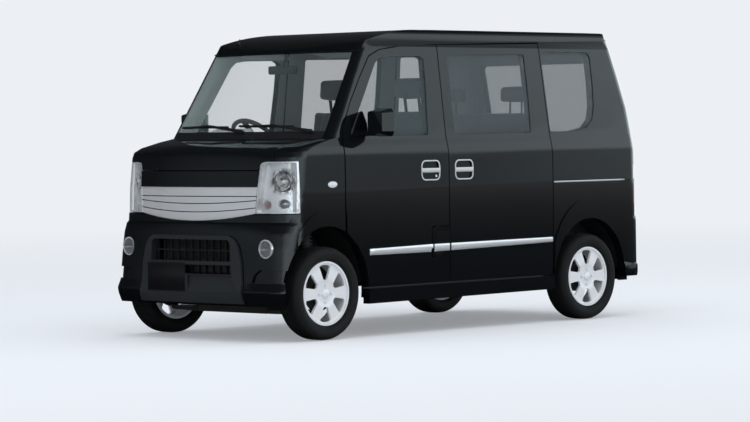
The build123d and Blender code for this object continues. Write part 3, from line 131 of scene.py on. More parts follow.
def finish(name, colour, roughness, metallic=0.0, drift=0.10, patch=7.0, grain=900.0, depth=0.05, **sockets):
    """A finish in one colour, whose shade and gloss drift from place to place over a fine grain.

    drift is the share by which they change, patch and grain are in marks a metre, and depth is the grain's.
    Returns the material, its position, its shader and the height that the grain's bump reads."""
    material = bpy.data.materials.new(name)
    material.use_nodes = True
    tree = material.node_tree
    shader = tree.nodes["Principled BSDF"]
    shader.inputs["Metallic"].default_value = metallic
    for socket, value in sockets.items():
        shader.inputs[socket.replace("_", " ")].default_value = value
    place = Flow(tree, None).node("TexCoord", out=3)
    clouds = place.node("TexNoise", {"Vector": place, "Scale": patch, "Detail": 5.0, "Roughness": 0.6})
    dark, pale = ([level * share for level in colour] for share in (1 - drift, 1 + drift))
    shade = place.node("Mix", {0: clouds, 6: (*dark, 1), 7: (*pale, 1)}, out=2, data_type="RGBA")
    feed(shader, "Base Color", shade)
    feed(shader, "Roughness", clouds * (2 * drift * roughness) + roughness * (1 - drift))
    fine = place.node("TexNoise", {"Vector": place, "Scale": grain, "Detail": 2.0})
    relief = place.node("Bump", {"Strength": depth, "Distance": 0.001, "Height": fine})
    feed(shader, "Normal", relief)
    return material, place, shader, relief


floor_paint, place, shader, relief = finish("studio_floor", stage_white, 0.9, drift=0.01)
across, along, height = axes(place)
far_off = (across * across + along * along).math("SQRT", across * across + along * along) * (1 / 60)
sheen = place.node("ValToRGB", {0: far_off}, stops=((0.0, 0.002), (0.20, 0.004), (0.5, 0.12), (1.0, 0.40)))
gloss_seen = place.node("Emission", {"Color": sheen, "Strength": 1.0})
seen, mirrored = (place.node("LightPath", out=way) for way in (0, 3))
fade = place.node("ValToRGB", {0: far_off}, stops=((0.03, 0.30), (0.10, 0.45), (0.35, 1.0)))
backdrop_seen = place.node("Emission", {"Color": (*stage_white, 1), "Strength": 1.0})
pale = place.node("MixShader", {0: seen * fade, 1: Flow(place.tree, shader.outputs[0]), 2: backdrop_seen})
mixed = place.node("MixShader", {0: mirrored, 1: pale, 2: gloss_seen})
place.tree.links.new(mixed.socket, place.tree.nodes["Material Output"].inputs[0])
floor_mesh = bmesh.new()
bmesh.ops.create_grid(floor_mesh, x_segments=1, y_segments=1, size=60)
floor_data = bpy.data.meshes.new("studio_floor")
floor_mesh.to_mesh(floor_data)
studio_floor = bpy.data.objects.new("studio_floor", floor_data)
floor_data.materials.append(floor_paint)
bpy.context.scene.collection.objects.link(studio_floor)

world = bpy.data.worlds.new("studio")
bpy.context.scene.world = world
world.use_nodes = True
room = Flow(world.node_tree, None)
aside, ahead, height = axes(room.node("TexCoord", out=0))
low = room.node("ValToRGB", {0: height}, stops=((0.0, 0.42), (0.10, 0.50), (0.22, 0.34), (0.38, 0.09), (1.0, 0.05)))
high = room.node("ValToRGB", {0: height}, stops=((0.07, 0.0), (0.17, 0.8), (0.30, 1.0), (0.45, 0.35), (0.74, 0.15)))
turn = room.node("ValToRGB", {0: aside * 0.5 + 0.5}, stops=((0.35, 0.02), (0.6, 0.10), (0.86, 0.25), (0.97, 0.85)))
near_side = room.node("ValToRGB", {0: aside * 0.5 + 0.5}, stops=((0.54, 0.0), (0.60, 1.0)))
tail = room.node("ValToRGB", {0: ahead}, stops=((0.74, 0.0), (0.93, 1.0)))
rearward = room.node("ValToRGB", {0: ahead}, stops=((0.1, 0.0), (0.5, 1.0)))
front = room.node("ValToRGB", {0: ahead * 0.5 + 0.5}, stops=((0.08, 1.0), (0.28, 0.0)))
walls = low * (turn * 4 + tail * 3 + front * 0.5) + high * near_side * rearward * 1.1
walls = room.node("Mix", {0: 1.0, 6: walls, 7: (0.84, 0.97, 1.04, 1)}, out=2, data_type="RGBA", blend_type="MULTIPLY")
mirrored = room.node("LightPath", out=3)
backdrop = room.node("Mix", {0: mirrored, 6: (*stage_white, 1), 7: walls}, out=2, data_type="RGBA")
world.node_tree.links.new(backdrop.socket, world.node_tree.nodes["Background"].inputs[0])


def soft_box(name, place, aim, width, height, power):
    """A rectangular studio lamp at place, turned to face aim."""
    lamp = bpy.data.lights.new(name, "AREA")
    lamp.shape, lamp.size, lamp.size_y, lamp.energy = "RECTANGLE", width, height, power
    held = bpy.data.objects.new(name, lamp)
    facing = (Vector(place) - Vector(aim)).to_track_quat("Z", "Y").to_matrix().to_4x4()
    held.matrix_world = Matrix.Translation(place) @ facing
    bpy.context.scene.collection.objects.link(held)
    return held


soft_box("overhead", (1.0, -1.0, 6.0), (0, 0, 0.8), 7, 7, 110).visible_glossy = False
soft_box("front", (1.5, -9.0, 3.2), (0, 0, 0.9), 3, 1.6, 40).visible_glossy = False
soft_box("rear_left_high", (3.6, 6.8, 6.2), (0.7, 0, 1.1), 6, 1.0, 90).visible_glossy = False

# ---- Seats ----
# Two front seats and a rear bench in grey woven cloth over foam, on pressed steel frames; the pads are blown out by
# a short cloth simulation and then drawn in along their sewn channels.
seat_cloth, place, shader, relief = finish(
    "seat_cloth", (0.085, 0.105, 0.110), 0.92, drift=0.10, patch=6.0, grain=700.0, depth=0.15, Sheen_Weight=0.35,
    Sheen_Roughness=0.5)
across, along, up = axes(place)
weave = across.math("SINE", across * 2600) * up.math("SINE", up * 2600 + along * 2600)
feed(shader, "Normal", place.node("Bump", {"Strength": 0.35, "Distance": 0.0008, "Height": weave, "Normal": relief}))
frame_steel, place, shader, relief = finish("seat_frame", (0.03, 0.03, 0.032), 0.55, drift=0.2, grain=900.0)


def piece(name, mesh, body, slot, material, *nodes):
    """A finished mesh as an object that rides on a body, in one finish, in place of the CAD nodes named."""
    data = bpy.data.meshes.new(name)
    mesh.to_mesh(data)
    mesh.free()
    for face in data.polygons:
        face.use_smooth = True
    data.materials.append(material)
    made = bpy.data.objects.new(name, data)
    bpy.context.scene.collection.objects.link(made)
    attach(made, body)
    if nodes:
        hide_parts(*nodes)
    return made


def closed(mesh):
    """Merges doubles and turns every face of a closed mesh outward."""
    bmesh.ops.remove_doubles(mesh, verts=mesh.verts, dist=0.000005)
    bmesh.ops.recalc_face_normals(mesh, faces=mesh.faces)
    return mesh


def block(mesh, low, high, soft=0.0, segments=2):
    """Adds a box between two corners, its edges rounded by soft."""
    made = bmesh.ops.create_cube(mesh, size=1.0)["verts"]
    size, middle = Vector(high) - Vector(low), (Vector(high) + Vector(low)) / 2
    bmesh.ops.scale(mesh, vec=size, verts=made)
    bmesh.ops.translate(mesh, vec=middle, verts=made)
    if soft:
        edges = {edge for vert in made for edge in vert.link_edges}
        bmesh.ops.bevel(mesh, geom=list(edges), offset=soft, offset_type="OFFSET", segments=segments, profile=0.5,
                        affect="EDGES", material=-1)


def bar_between(mesh, start, end, up, wide, tall, taper=1.0, soft=0.0008):
    """Adds a slim bar from start to end, wide across and tall towards up, narrowing by taper at its end."""
    run = end - start
    toward = run.normalized()
    across = toward.cross(up).normalized()
    over = across.cross(toward)
    made = bmesh.ops.create_cube(mesh, size=1.0)["verts"]
    for vert in made:
        share = vert.co.x + 0.5
        slim = 1 + (taper - 1) * share
        vert.co = start + run * share + across * (vert.co.y * wide * slim) + over * (vert.co.z * tall)
    edges = {edge for vert in made for edge in vert.link_edges}
    bmesh.ops.bevel(mesh, geom=list(edges), offset=soft, offset_type="OFFSET", segments=2, profile=0.5,
                    affect="EDGES", material=-1)


def seat_pad(name, corners, soft, voxel, reach, channels, node):
    """A foam pad under cloth: a bevelled eight-cornered form, remeshed, blown out by up to reach and sewn down.

    corners gives the form's eight corners, low to high; channels gives the (axis, place, depth, width) of each sewn
    line."""
    mesh = bmesh.new()
    made = bmesh.ops.create_cube(mesh, size=2.0)["verts"]
    for vert in made:
        vert.co = Vector(corners[(vert.co.x > 0) + 2 * (vert.co.y > 0) + 4 * (vert.co.z > 0)])
    bmesh.ops.bevel(mesh, geom=mesh.edges[:], offset=soft, offset_type="OFFSET", segments=5, profile=0.5,
                    affect="EDGES", material=-1)
    pad = piece(name, closed(mesh), "body", "seat_fabric", seat_cloth)
    grid = pad.modifiers.new("grid", "REMESH")
    grid.mode, grid.voxel_size = "VOXEL", voxel
    bpy.context.view_layer.update()
    even = bpy.data.meshes.new_from_object(pad.evaluated_get(bpy.context.evaluated_depsgraph_get()))
    pad.modifiers.clear()
    pad.data = even
    start = [vert.co.copy() for vert in even.vertices]
    cloth = pad.modifiers.new("blown", "CLOTH")
    cloth.settings.quality, cloth.settings.use_pressure = 4, True
    cloth.settings.uniform_pressure_force = 4.0
    cloth.settings.effector_weights.gravity = 0.0
    cloth.point_cache.frame_start, cloth.point_cache.frame_end = 1, 20
    for step in range(1, 21):
        bpy.context.scene.frame_set(step)
    blown = pad.evaluated_get(bpy.context.evaluated_depsgraph_get()).data
    ends = [vert.co.copy() for vert in blown.vertices]
    pad.modifiers.clear()
    bpy.context.scene.frame_set(1)
    for vert, first, last in zip(even.vertices, start, ends):
        move = last - first
        vert.co = first + move * min(1.0, reach / max(move.length, 0.0001))
    even.update()
    facing = [vert.normal.copy() for vert in even.vertices]
    for vert, outward in zip(even.vertices, facing):
        sunk = 0.0
        for axis, spot, depth, width in channels:
            sunk += depth * 2.718 ** -(((vert.co[axis] - spot) / width) ** 2)
        vert.co -= outward * sunk
    for face in even.polygons:
        face.use_smooth = True
    finer = pad.modifiers.new("finer", "SUBSURF")
    finer.levels = finer.render_levels = 1
    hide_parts(node)
    return pad


def leaning(x, half, low, high):
    """Eight corners from a lower and an upper edge, each given as ((y, z) front, (y, z) rear)."""
    return [Vector((x + side * half, *pair)) for edge in (low, high) for pair in edge for side in (-1, 1)]


for x, side in ((0.330, "left"), (-0.330, "right")):
    seat_pad("front_cushion_" + side, leaning(x, 0.222, ((-0.682, 0.712), (-0.225, 0.704)),
                                              ((-0.668, 0.796), (-0.250, 0.768))),
             0.030, 0.0078, 0.018, ((0, x - 0.135, 0.007, 0.006), (0, x + 0.135, 0.007, 0.006),
                                    (1, -0.420, 0.005, 0.006)), "front_seats")
    seat_pad("front_back_" + side, leaning(x, 0.220, ((-0.190, 0.800), (-0.125, 0.800)),
                                           ((-0.090, 1.366), (-0.050, 1.366))),
             0.018, 0.0078, 0.014, ((0, x - 0.125, 0.006, 0.006), (0, x + 0.125, 0.006, 0.006),
                                    (2, 1.120, 0.005, 0.006)), "front_seats")
    seat_pad("front_headrest_" + side, leaning(x, 0.126, ((-0.136, 1.438), (-0.052, 1.438)),
                                               ((-0.126, 1.560), (-0.060, 1.560))),
             0.026, 0.0055, 0.010, (), "front_seats")
seat_pad("bench_cushion", leaning(0.0, 0.545, ((0.345, 0.872), (0.790, 0.862)), ((0.352, 0.940), (0.765, 0.914))),
         0.026, 0.0110, 0.016, ((0, 0.0, 0.007, 0.008), (0, -0.280, 0.004, 0.007), (0, 0.280, 0.004, 0.007)),
         "rear_bench")
seat_pad("bench_back", leaning(0.0, 0.545, ((0.800, 0.930), (0.868, 0.905)), ((0.915, 1.352), (0.962, 1.348))),
         0.018, 0.0110, 0.013, ((0, 0.0, 0.007, 0.008), (0, -0.280, 0.004, 0.007), (0, 0.280, 0.004, 0.007)),
         "rear_bench")
for x, side in ((0.290, "left"), (-0.290, "right")):
    seat_pad("rear_headrest_" + side, leaning(x, 0.120, ((0.902, 1.412), (0.974, 1.412)),
                                              ((0.908, 1.508), (0.972, 1.508))),
             0.024, 0.0055, 0.008, (), "rear_bench")
mesh = bmesh.new()
for x in (0.330, -0.330):
    block(mesh, (x - 0.200, -0.640, 0.655), (x + 0.200, -0.190, 0.700), 0.004)
    for post in (x - 0.060, x + 0.060):
        bar_between(mesh, Vector((post, -0.078, 1.345)), Vector((post, -0.094, 1.450)), Vector((0, 1, 0)),
                    0.011, 0.011, 1.0, 0.003)
    for end in (x - 0.231, x + 0.231):
        bar_between(mesh, Vector((end, -0.255, 0.735)), Vector((end, -0.150, 0.860)), Vector((0, 1, 0)),
                    0.012, 0.050, 0.8, 0.004)
for x in (0.290, -0.290):
    for post in (x - 0.050, x + 0.050):
        bar_between(mesh, Vector((post, 0.933, 1.330)), Vector((post, 0.937, 1.425)), Vector((0, 1, 0)),
                    0.011, 0.011, 1.0, 0.003)
    block(mesh, (x - 0.180, 0.420, 0.606), (x + 0.180, 0.480, 0.868), 0.004)
    block(mesh, (x - 0.180, 0.740, 0.606), (x + 0.180, 0.798, 0.860), 0.004)
made = piece("seat_frames", closed(mesh), "body", "underbody", frame_steel)
made.data.set_sharp_from_angle(angle=radians(40))
# ---- Painted panels ----
# Pressed steel panels and moulded plastic bumpers in gloss black under a clear coat, their edges folded over a
# millimetre. Each is its CAD panel's mesh with the doubles merged, and what faces the cabin is lined in pale grey.
black_paint, place, shader, relief = finish(
    "black_paint", (0.0022, 0.0032, 0.0040), 0.45, grain=380.0, depth=0.012, patch=3.0,
    Coat_Weight=1.0, Coat_Roughness=0.02, Specular_IOR_Level=0.05)
lining_grey, place, shader, relief = finish("lining_grey", (0.30, 0.325, 0.325), 0.72, grain=1500.0, depth=0.25)


def rounded(made, width, angle=32.0, segments=2):
    """Rounds a piece's edges and evens its shading."""
    edge = made.modifiers.new("edge", "BEVEL")
    edge.width, edge.segments, edge.limit_method, edge.angle_limit = width, segments, "ANGLE", radians(angle)
    edge.use_clamp_overlap = True
    made.modifiers.new("even", "WEIGHTED_NORMAL").keep_sharp = True
    return made


def merged(node):
    """A copy of a CAD node's mesh with its doubles merged."""
    mesh = bmesh.new()
    mesh.from_mesh(frame["nodes"][node].data)
    bmesh.ops.remove_doubles(mesh, verts=mesh.verts, dist=0.00002)
    bmesh.ops.dissolve_degenerate(mesh, edges=mesh.edges, dist=0.00001)
    return mesh


def panel(node, body, outward=None):
    """A painted panel; faces that turn away from outward are lined."""
    mesh = merged(node)
    if outward:
        for face in mesh.faces:
            if face.normal.dot(Vector(outward)) < -0.3:
                face.material_index = 1
    made = piece("painted_" + node, mesh, body, "body_paint", black_paint, node)
    made.data.materials.append(lining_grey)
    return rounded(made, 0.0009)


for side, hand in ((1, "left"), (-1, "right")):
    panel("front_door_" + hand, "front_door_" + hand, (side, 0, 0))
    panel("sliding_door_" + hand, "body", (side, 0, 0))
    panel("side_body_" + hand, "body", (side, 0, 0.25))
    panel("front_fender_" + hand, "body")
    panel("door_mirror_" + hand, "front_door_" + hand)
panel("roof_panel", "body", (0, 0, 1))
panel("tailgate", "tailgate", (0, 1, 0))
panel("bonnet", "bonnet")
for node in ("nose_panel", "rear_bumper", "side_skirts"):
    panel(node, "body")
panel("fuel_lid", "fuel_lid")
panel("fuel_filler", "body")


# ---- Windows ----
# Clear green-tinted safety glass in front, a little darker in the front doors, and privacy glass behind the centre
# pillar, each pane 4 to 5 mm thick, cut to its opening and bonded in.
def see_through(name, tint, clear):
    """Glass in one tint that lets the share clear through each face, and mirrors more where it is seen aslant."""
    glass, place, shader, relief = finish(name, tint, 0.015, drift=0.03, depth=0.0, Specular_IOR_Level=0.8)
    slant = place.node("LayerWeight", {"Blend": 0.5}, out=1)
    feed(shader, "Alpha", slant.math("POWER", slant, 4.0) * clear + (1 - clear))
    return glass


def pane(node, body, tint, clear):
    """One node's panes of tinted glass."""
    made = piece("pane_" + node, merged(node), body, "window_glass", see_through("glass_" + node, tint, clear), node)
    made.data.set_sharp_from_angle(angle=radians(40))
    made.modifiers.new("even", "WEIGHTED_NORMAL").keep_sharp = True
    return made


pane("windscreen", "body", (0.40, 0.50, 0.49), 0.985)
for hand in ("left", "right"):
    pane("door_glass_" + hand, "front_door_" + hand, (0.11, 0.15, 0.16), 0.85)
pane("side_glass", "body", (0.075, 0.090, 0.100), 0.66)
pane("tailgate_glass", "tailgate", (0.075, 0.090, 0.100), 0.66)

# ---- Upper grille ----
# Four satin-plated bars bowed across the nose, painted black where they face away from the front as painted shade
# in the gaps between them; the plain panel over them is bare.
satin_chrome, place, shader, relief = finish(
    "satin_chrome", (0.90, 0.91, 0.92), 0.22, 0.65, drift=0.04, grain=2200.0, depth=0.04)
black_plastic, place, shader, relief = finish(
    "black_plastic", (0.011, 0.012, 0.013), 0.5, drift=0.15, grain=2400.0, depth=0.35)
bars_mesh = merged("front_grille")
# Faces turned away from the front take black plastic: painted shade between the bars.
for face in bars_mesh.faces:
    face.material_index = int(face.normal.y > -0.55)
bars = piece("grille_bars", bars_mesh, "body", "chrome", satin_chrome, "front_grille")
bars.data.materials.append(black_plastic)
rounded(bars, 0.0035, 30, 3)

# ---- Front bumper, its grille and the plate place ----
# The bumper is moulded and painted with the body; the raised frame round its mouth, the ribbed grille in the mouth
# and the plate's carrier are grained plastic left dark.
dark_frame, place, shader, relief = finish(
    "dark_frame", (0.018, 0.021, 0.023), 0.42, drift=0.10, grain=1500.0, depth=0.18)
frame_edge = ((0.225, 0.4475), (0.470, 0.4295), (0.560, 0.4055), (0.606, 0.3735), (0.627, 0.3310))
bumper_mesh = merged("front_bumper")
for face in bumper_mesh.faces:
    spot = face.calc_center_median()
    for (low, foot), (high, top) in zip(frame_edge, frame_edge[1:]):
        if low - 0.002 <= spot.z < high and abs(spot.x) <= foot + (top - foot) * (spot.z - low) / (high - low):
            face.material_index = int(spot.y < -1.60)
bumper = rounded(piece("bumper_front", bumper_mesh, "body", "body_paint", black_paint, "front_bumper"), 0.0015)
bumper.data.materials.append(dark_frame)
for node in ("lower_grille", "plate_bracket", "cowl_panel"):
    rounded(piece("moulded_" + node, merged(node), "body", "black_trim", black_plastic, node), 0.001)
plate_mesh = bmesh.new()
block(plate_mesh, (-0.365, -1.6972, 0.2945), (-0.039, -1.6955, 0.4565), 0.0004, 1)
for x in (-0.307, -0.097):
    bolt = bmesh.ops.create_cone(plate_mesh, cap_ends=True, segments=6, radius1=0.0062, radius2=0.0062, depth=0.004)
    bmesh.ops.rotate(plate_mesh, verts=bolt["verts"], matrix=Matrix.Rotation(pi / 2, 3, "X"))
    bmesh.ops.translate(plate_mesh, verts=bolt["verts"], vec=(x, -1.6975, 0.440))
bare_plate, place, shader, relief = finish("bare_plate", (0.006, 0.006, 0.007), 0.35, grain=500.0, depth=0.02)
piece("plate_blank", closed(plate_mesh), "body", "black_trim", bare_plate)

# ---- Headlamps and fog lamps ----
# A clear lens over a plated housing with a faceted main reflector, its facets painted from near black to near white
# as painted glints, a signal bowl with an amber bulb and a small parking bowl; each fog lamp is a round glass in a
# plated ring, over a reflector painted dark grey as painted shade.
reflector, place, shader, relief = finish(
    "lamp_reflector", (0.93, 0.94, 0.95), 0.10, 0.60, drift=0.03, patch=30.0, grain=600.0, depth=0.0)
stretched = place.node("Mapping", {"Vector": place, "Scale": (1.0, 1.0, 0.45)})
cells = place.node("TexVoronoi", {"Vector": stretched, "Scale": 70.0}, out=1)
# Within the main bowl each facet is painted its own shade, from near black to near white: painted glints.
painted_glints = place.node("ValToRGB", {0: axes(cells)[0]}, stops=((0.0, 0.06), (0.34, 0.30), (0.58, 0.86), (1.0, 0.97)))
across, along, up = axes(place)
aside = across.math("ABSOLUTE", across) + -0.628
over = up + -0.945
bowl = place.node("ValToRGB", {0: aside * aside + over * over}, stops=((0.0040, 1.0), (0.0056, 0.0)))
plate_and_glints = place.node("Mix", {0: bowl, 6: (0.93, 0.94, 0.95, 1), 7: painted_glints}, out=2, data_type="RGBA")
# Below 0.71 m, on the fog reflectors, the plating is painted dark grey: painted shade.
fog_level = place.node("ValToRGB", {0: up}, stops=((0.70, 1.0), (0.72, 0.0)))
painted_fog_shade = place.node("Mix", {0: fog_level, 6: plate_and_glints, 7: (0.30, 0.31, 0.33, 1)}, out=2, data_type="RGBA")
feed(shader, "Base Color", painted_fog_shade)
facets = place.node("TexVoronoi", {"Vector": stretched, "Scale": 70.0, "Smoothness": 0.3}, feature="SMOOTH_F1")
feed(shader, "Normal", place.node("Bump", {"Strength": 0.25, "Distance": 0.003, "Height": facets}))
lens_clear = see_through("lens_clear", (0.30, 0.32, 0.34), 0.94)
amber_bulb, place, shader, relief = finish("amber_bulb", (0.75, 0.16, 0.03), 0.15, drift=0.05, Coat_Weight=0.6)
clear_bulb, place, shader, relief = finish("clear_bulb", (0.8, 0.8, 0.78), 0.08, 0.2, drift=0.05)
rounded(piece("lamp_housings", merged("headlamps"), "body", "chrome", reflector, "headlamps"), 0.001)
lens = piece("lamp_lenses", merged("headlamp_lenses"), "body", "lamp_clear", lens_clear, "headlamp_lenses")
lens.data.set_sharp_from_angle(angle=radians(40))


def surface_of(*nodes):
    """The surface of some CAD nodes, for finding where trim sits on it."""
    mesh = bmesh.new()
    for node in nodes:
        mesh.from_mesh(frame["nodes"][node].data)
    return BVHTree.FromBMesh(mesh)


def lathe(mesh, profile, centre, axis, steps=48):
    """Turns a profile of (distance along the axis, radius) pairs about an axis through centre."""
    toward = Vector(axis).normalized()
    across = toward.orthogonal().normalized()
    points = [mesh.verts.new(Vector(centre) + toward * along + across * radius) for along, radius in profile]
    edges = [mesh.edges.new(pair) for pair in zip(points, points[1:])]
    bmesh.ops.spin(mesh, geom=points + edges, cent=centre, axis=toward, dvec=(0, 0, 0), angle=tau, steps=steps,
                   use_merge=True, use_duplicate=False)
    bmesh.ops.remove_doubles(mesh, verts=mesh.verts, dist=0.000005)


for name, mesh, parts, slot, material in (
        ("fog_rings", bmesh.new(), ((0.016, 0.048), (0.002, 0.048), (-0.001, 0.0505), (0.0, 0.055), (0.005, 0.0575),
                                    (0.016, 0.0575), (0.016, 0.048)), "chrome", satin_chrome),
        ("fog_glasses", bmesh.new(), ((0.0, 0.0), (0.0008, 0.030), (0.004, 0.0475), (0.007, 0.0475), (0.0038, 0.030),
                                      (0.003, 0.0)), "lamp_clear", lens_clear),
        ("fog_reflectors", bmesh.new(), ((0.052, 0.0), (0.050, 0.014), (0.040, 0.028), (0.026, 0.040),
                                         (0.012, 0.0475), (0.008, 0.0475), (0.024, 0.0405), (0.042, 0.0235),
                                         (0.046, 0.0)), "chrome", reflector)):
    for side in (1, -1):
        lathe(mesh, parts, (side * 0.599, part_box("fog_lamps")[0].y, 0.550), (0, 1, 0))
    made = piece(name, closed(mesh), "body", slot, material)
    made.data.set_sharp_from_angle(angle=radians(35))
    if name == "fog_rings":
        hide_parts("fog_lamps")
bulbs = {"signal_bulbs": (0.541, 0.806, 0.0115, amber_bulb), "parking_bulbs": (0.640, 0.812, 0.007, clear_bulb),
         "main_bulbs": (0.634, 0.943, 0.012, clear_bulb)}
lamp_faces = surface_of("headlamps")
for name, (x, z, radius, material) in bulbs.items():
    mesh = bmesh.new()
    for side in (1, -1):
        seat = lamp_faces.ray_cast(Vector((side * x, -2, z)), Vector((0, 1, 0)))[0]
        lathe(mesh, ((0.004, 0.0), (0.004, 0.8 * radius), (-0.010, 0.8 * radius), (-0.012, radius),
                     (-0.030, radius), (-0.038, 0.7 * radius), (-0.042, 0.0)), seat, (0, 1, 0), 24)
    made = piece(name, closed(mesh), "body", "lamp_clear", material)
    made.data.set_sharp_from_angle(angle=radians(35))
# ---- Side mouldings and rails ----
# Bright rolled strips clipped along the doors in line with the fuel lid, split where the panels part, and a slim
# bright cover over the sliding door's track on the rear quarter.
flanks = {side: surface_of("front_door_" + hand, "sliding_door_" + hand, "side_body_" + hand, "front_fender_" + hand,
                           *(["fuel_lid"] if side > 0 else [])) for side, hand in ((1, "left"), (-1, "right"))}


def flank_x(side, y, z):
    """How far out a flank stands at a place, to its own side; gaps between panels are bridged."""
    hits = [flanks[side].ray_cast(Vector((2 * side, y + aside, z)), Vector((-side, 0, 0)))[0]
            for aside in (-0.007, 0, 0.007)]
    return max(abs(hit.x) for hit in hits if hit)


def level(points, y):
    """The height at y of a line through (y, z) points."""
    for (y0, z0), (y1, z1) in zip(points, points[1:]):
        if y <= y1 or (y1, z1) == points[-1]:
            return z0 + (z1 - z0) * (y - y0) / (y1 - y0)


def trim(mesh, side, start, end, low, high, proud, under=0.004, steps=30):
    """Adds a crowned strip along one flank from start to end, between a low and a high line of (y, z) points."""
    made = bmesh.ops.create_grid(mesh, x_segments=steps, y_segments=6, size=0.5)["verts"]
    faces = list({face for vert in made for face in vert.link_faces})
    for vert in made:
        share, rise = vert.co.x + 0.5, vert.co.y + 0.5
        y = start + (end - start) * share
        z = level(low, y) * (1 - rise) + level(high, y) * rise
        crown = sqrt(max(0.0, 1 - (2 * rise - 1) ** 4))
        vert.co = (side * (flank_x(side, y, z) + proud * (0.25 + 0.75 * crown)), y, z)
    grown = bmesh.ops.extrude_face_region(mesh, geom=faces)["geom"]
    back = [part for part in grown if isinstance(part, bmesh.types.BMVert)]
    bmesh.ops.translate(mesh, vec=(-side * under, 0, 0), verts=back)


moulding_low = ((-0.927, 0.490), (-0.324, 0.491), (-0.180, 0.494), (0.777, 0.513))
moulding_high = ((-0.927, 0.527), (-0.332, 0.538), (-0.188, 0.539), (0.777, 0.545))
for name, side, start, end, body in (
        ("door_moulding_left", 1, -0.905, -0.341, "front_door_left"),
        ("lid_moulding", 1, -0.330, -0.193, "fuel_lid"),
        ("door_moulding_right", -1, -0.905, -0.196, "front_door_right"),
        ("slide_moulding_left", 1, -0.178, 0.775, "body"),
        ("slide_moulding_right", -1, -0.178, 0.775, "body")):
    mesh = bmesh.new()
    trim(mesh, side, start, end, moulding_low, moulding_high, 0.0035)
    rounded(piece(name, closed(mesh), body, "chrome", satin_chrome), 0.0012)
mesh = bmesh.new()
for side in (1, -1):
    trim(mesh, side, 0.803, 1.496, ((0.8, 0.8885), (1.5, 0.8895)), ((0.8, 0.9005), (1.5, 0.9015)), 0.0045)
rounded(piece("track_rails", closed(mesh), "body", "chrome", satin_chrome), 0.001)

# ---- Outside door handles ----
# A plated frame round each recess and a plated cap over the pull bar, with the lock's cylinder at the front doors.


def handle_ring(mesh, side, y, z, half_y, half_z, corner, wide, proud):
    """Adds a flat rounded frame round a door handle's recess, bent to the door's skin."""
    ring = bmesh.new()
    made = bmesh.ops.create_grid(ring, x_segments=1, y_segments=1, size=1)["verts"]
    bmesh.ops.scale(ring, vec=(half_y, half_z, 1), verts=made)
    bmesh.ops.bevel(ring, geom=made, offset=corner, segments=7, profile=0.5, affect="VERTICES", material=-1)
    opening = ring.faces[:]
    bmesh.ops.inset_region(ring, faces=opening, thickness=wide, use_boundary=True)
    bmesh.ops.delete(ring, geom=opening, context="FACES")
    for vert in ring.verts:
        across, up = vert.co.x, vert.co.y
        above, below = (flank_x(side, y + across, z + side_step) for side_step in (0.072, -0.072))
        out = below + (above - below) * (up + 0.072) / 0.144
        vert.co = (side * (out + proud), y + across, z + up)
    grown = bmesh.ops.extrude_face_region(ring, geom=ring.faces[:])["geom"]
    back = [part for part in grown if isinstance(part, bmesh.types.BMVert)]
    bmesh.ops.translate(ring, vec=(-side * (proud + 0.003), 0, 0), verts=back)
    held = bpy.data.meshes.new("ring")
    ring.to_mesh(held)
    mesh.from_mesh(held)


for name, side, y, body in (
        ("handle_front_left", 1, -0.354, "front_door_left"), ("handle_front_right", -1, -0.354, "front_door_right"),
        ("handle_slide_left", 1, -0.052, "body"), ("handle_slide_right", -1, -0.052, "body")):
    mesh = bmesh.new()
    handle_ring(mesh, side, y, 0.989, 0.0835, 0.0625, 0.036, 0.0085, 0.003)
    inner, outer = side * (flank_x(side, y, 1.062) - 0.012), side * 0.7385
    block(mesh, (min(inner, outer), y - 0.0815, 0.9745), (max(inner, outer), y + 0.0815, 1.0035), 0.005, 3)
    if "front" in name:
        lathe(mesh, ((0.0, 0.0), (0.0, 0.006), (0.0012, 0.0085), (-0.02, 0.0085), (-0.02, 0.0)),
              (side * (flank_x(side, y, 1.062) - 0.004), y + 0.055, 0.955), (side, 0, 0), 24)
    rounded(piece(name, closed(mesh), body, "chrome", satin_chrome), 0.001)

# ---- Side repeaters, mirrors, washer jets and aerial ----
# Small clear oval lamps behind the front wheel arches, flat silvered glass in the mirror shells, two plastic jets on
# the bonnet and a short rubber aerial on the roof.
white_lens, place, shader, relief = finish(
    "white_lens", (0.72, 0.74, 0.76), 0.12, drift=0.05, patch=60.0, grain=300.0, depth=0.3, Coat_Weight=0.8)
mesh = bmesh.new()
for side in (1, -1):
    seat = Vector((side * flank_x(side, -1.206, 0.920), -1.206, 0.920))
    before = set(mesh.verts)
    lathe(mesh, ((-0.006, 0.0), (-0.006, 0.019), (0.002, 0.019), (0.0055, 0.015), (0.0075, 0.008), (0.008, 0.0)),
          seat, (side, 0, 0), 40)
    made = [vert for vert in mesh.verts if vert not in before]
    bmesh.ops.scale(mesh, vec=(1, 2.0, 1), verts=made, space=Matrix.Translation(-seat))
made = piece("side_repeaters", closed(mesh), "body", "lamp_clear", white_lens)
made.data.set_sharp_from_angle(angle=radians(50))
mirror_glass, place, shader, relief = finish(
    "mirror_glass", (0.82, 0.84, 0.86), 0.03, 1.0, drift=0.01, depth=0.0)
for side, hand in ((1, "left"), (-1, "right")):
    low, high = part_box("door_mirror_" + hand)
    mesh = bmesh.new()
    inner, outer = sorted((side * 0.722, side * 0.884))
    block(mesh, (inner, high.y - 0.004, low.z + 0.016), (outer, high.y + 0.0015, high.z - 0.016), 0.0012, 2)
    piece("mirror_glass_" + hand, closed(mesh), "front_door_" + hand, "chrome", mirror_glass)
hood = surface_of("bonnet")
mesh = bmesh.new()
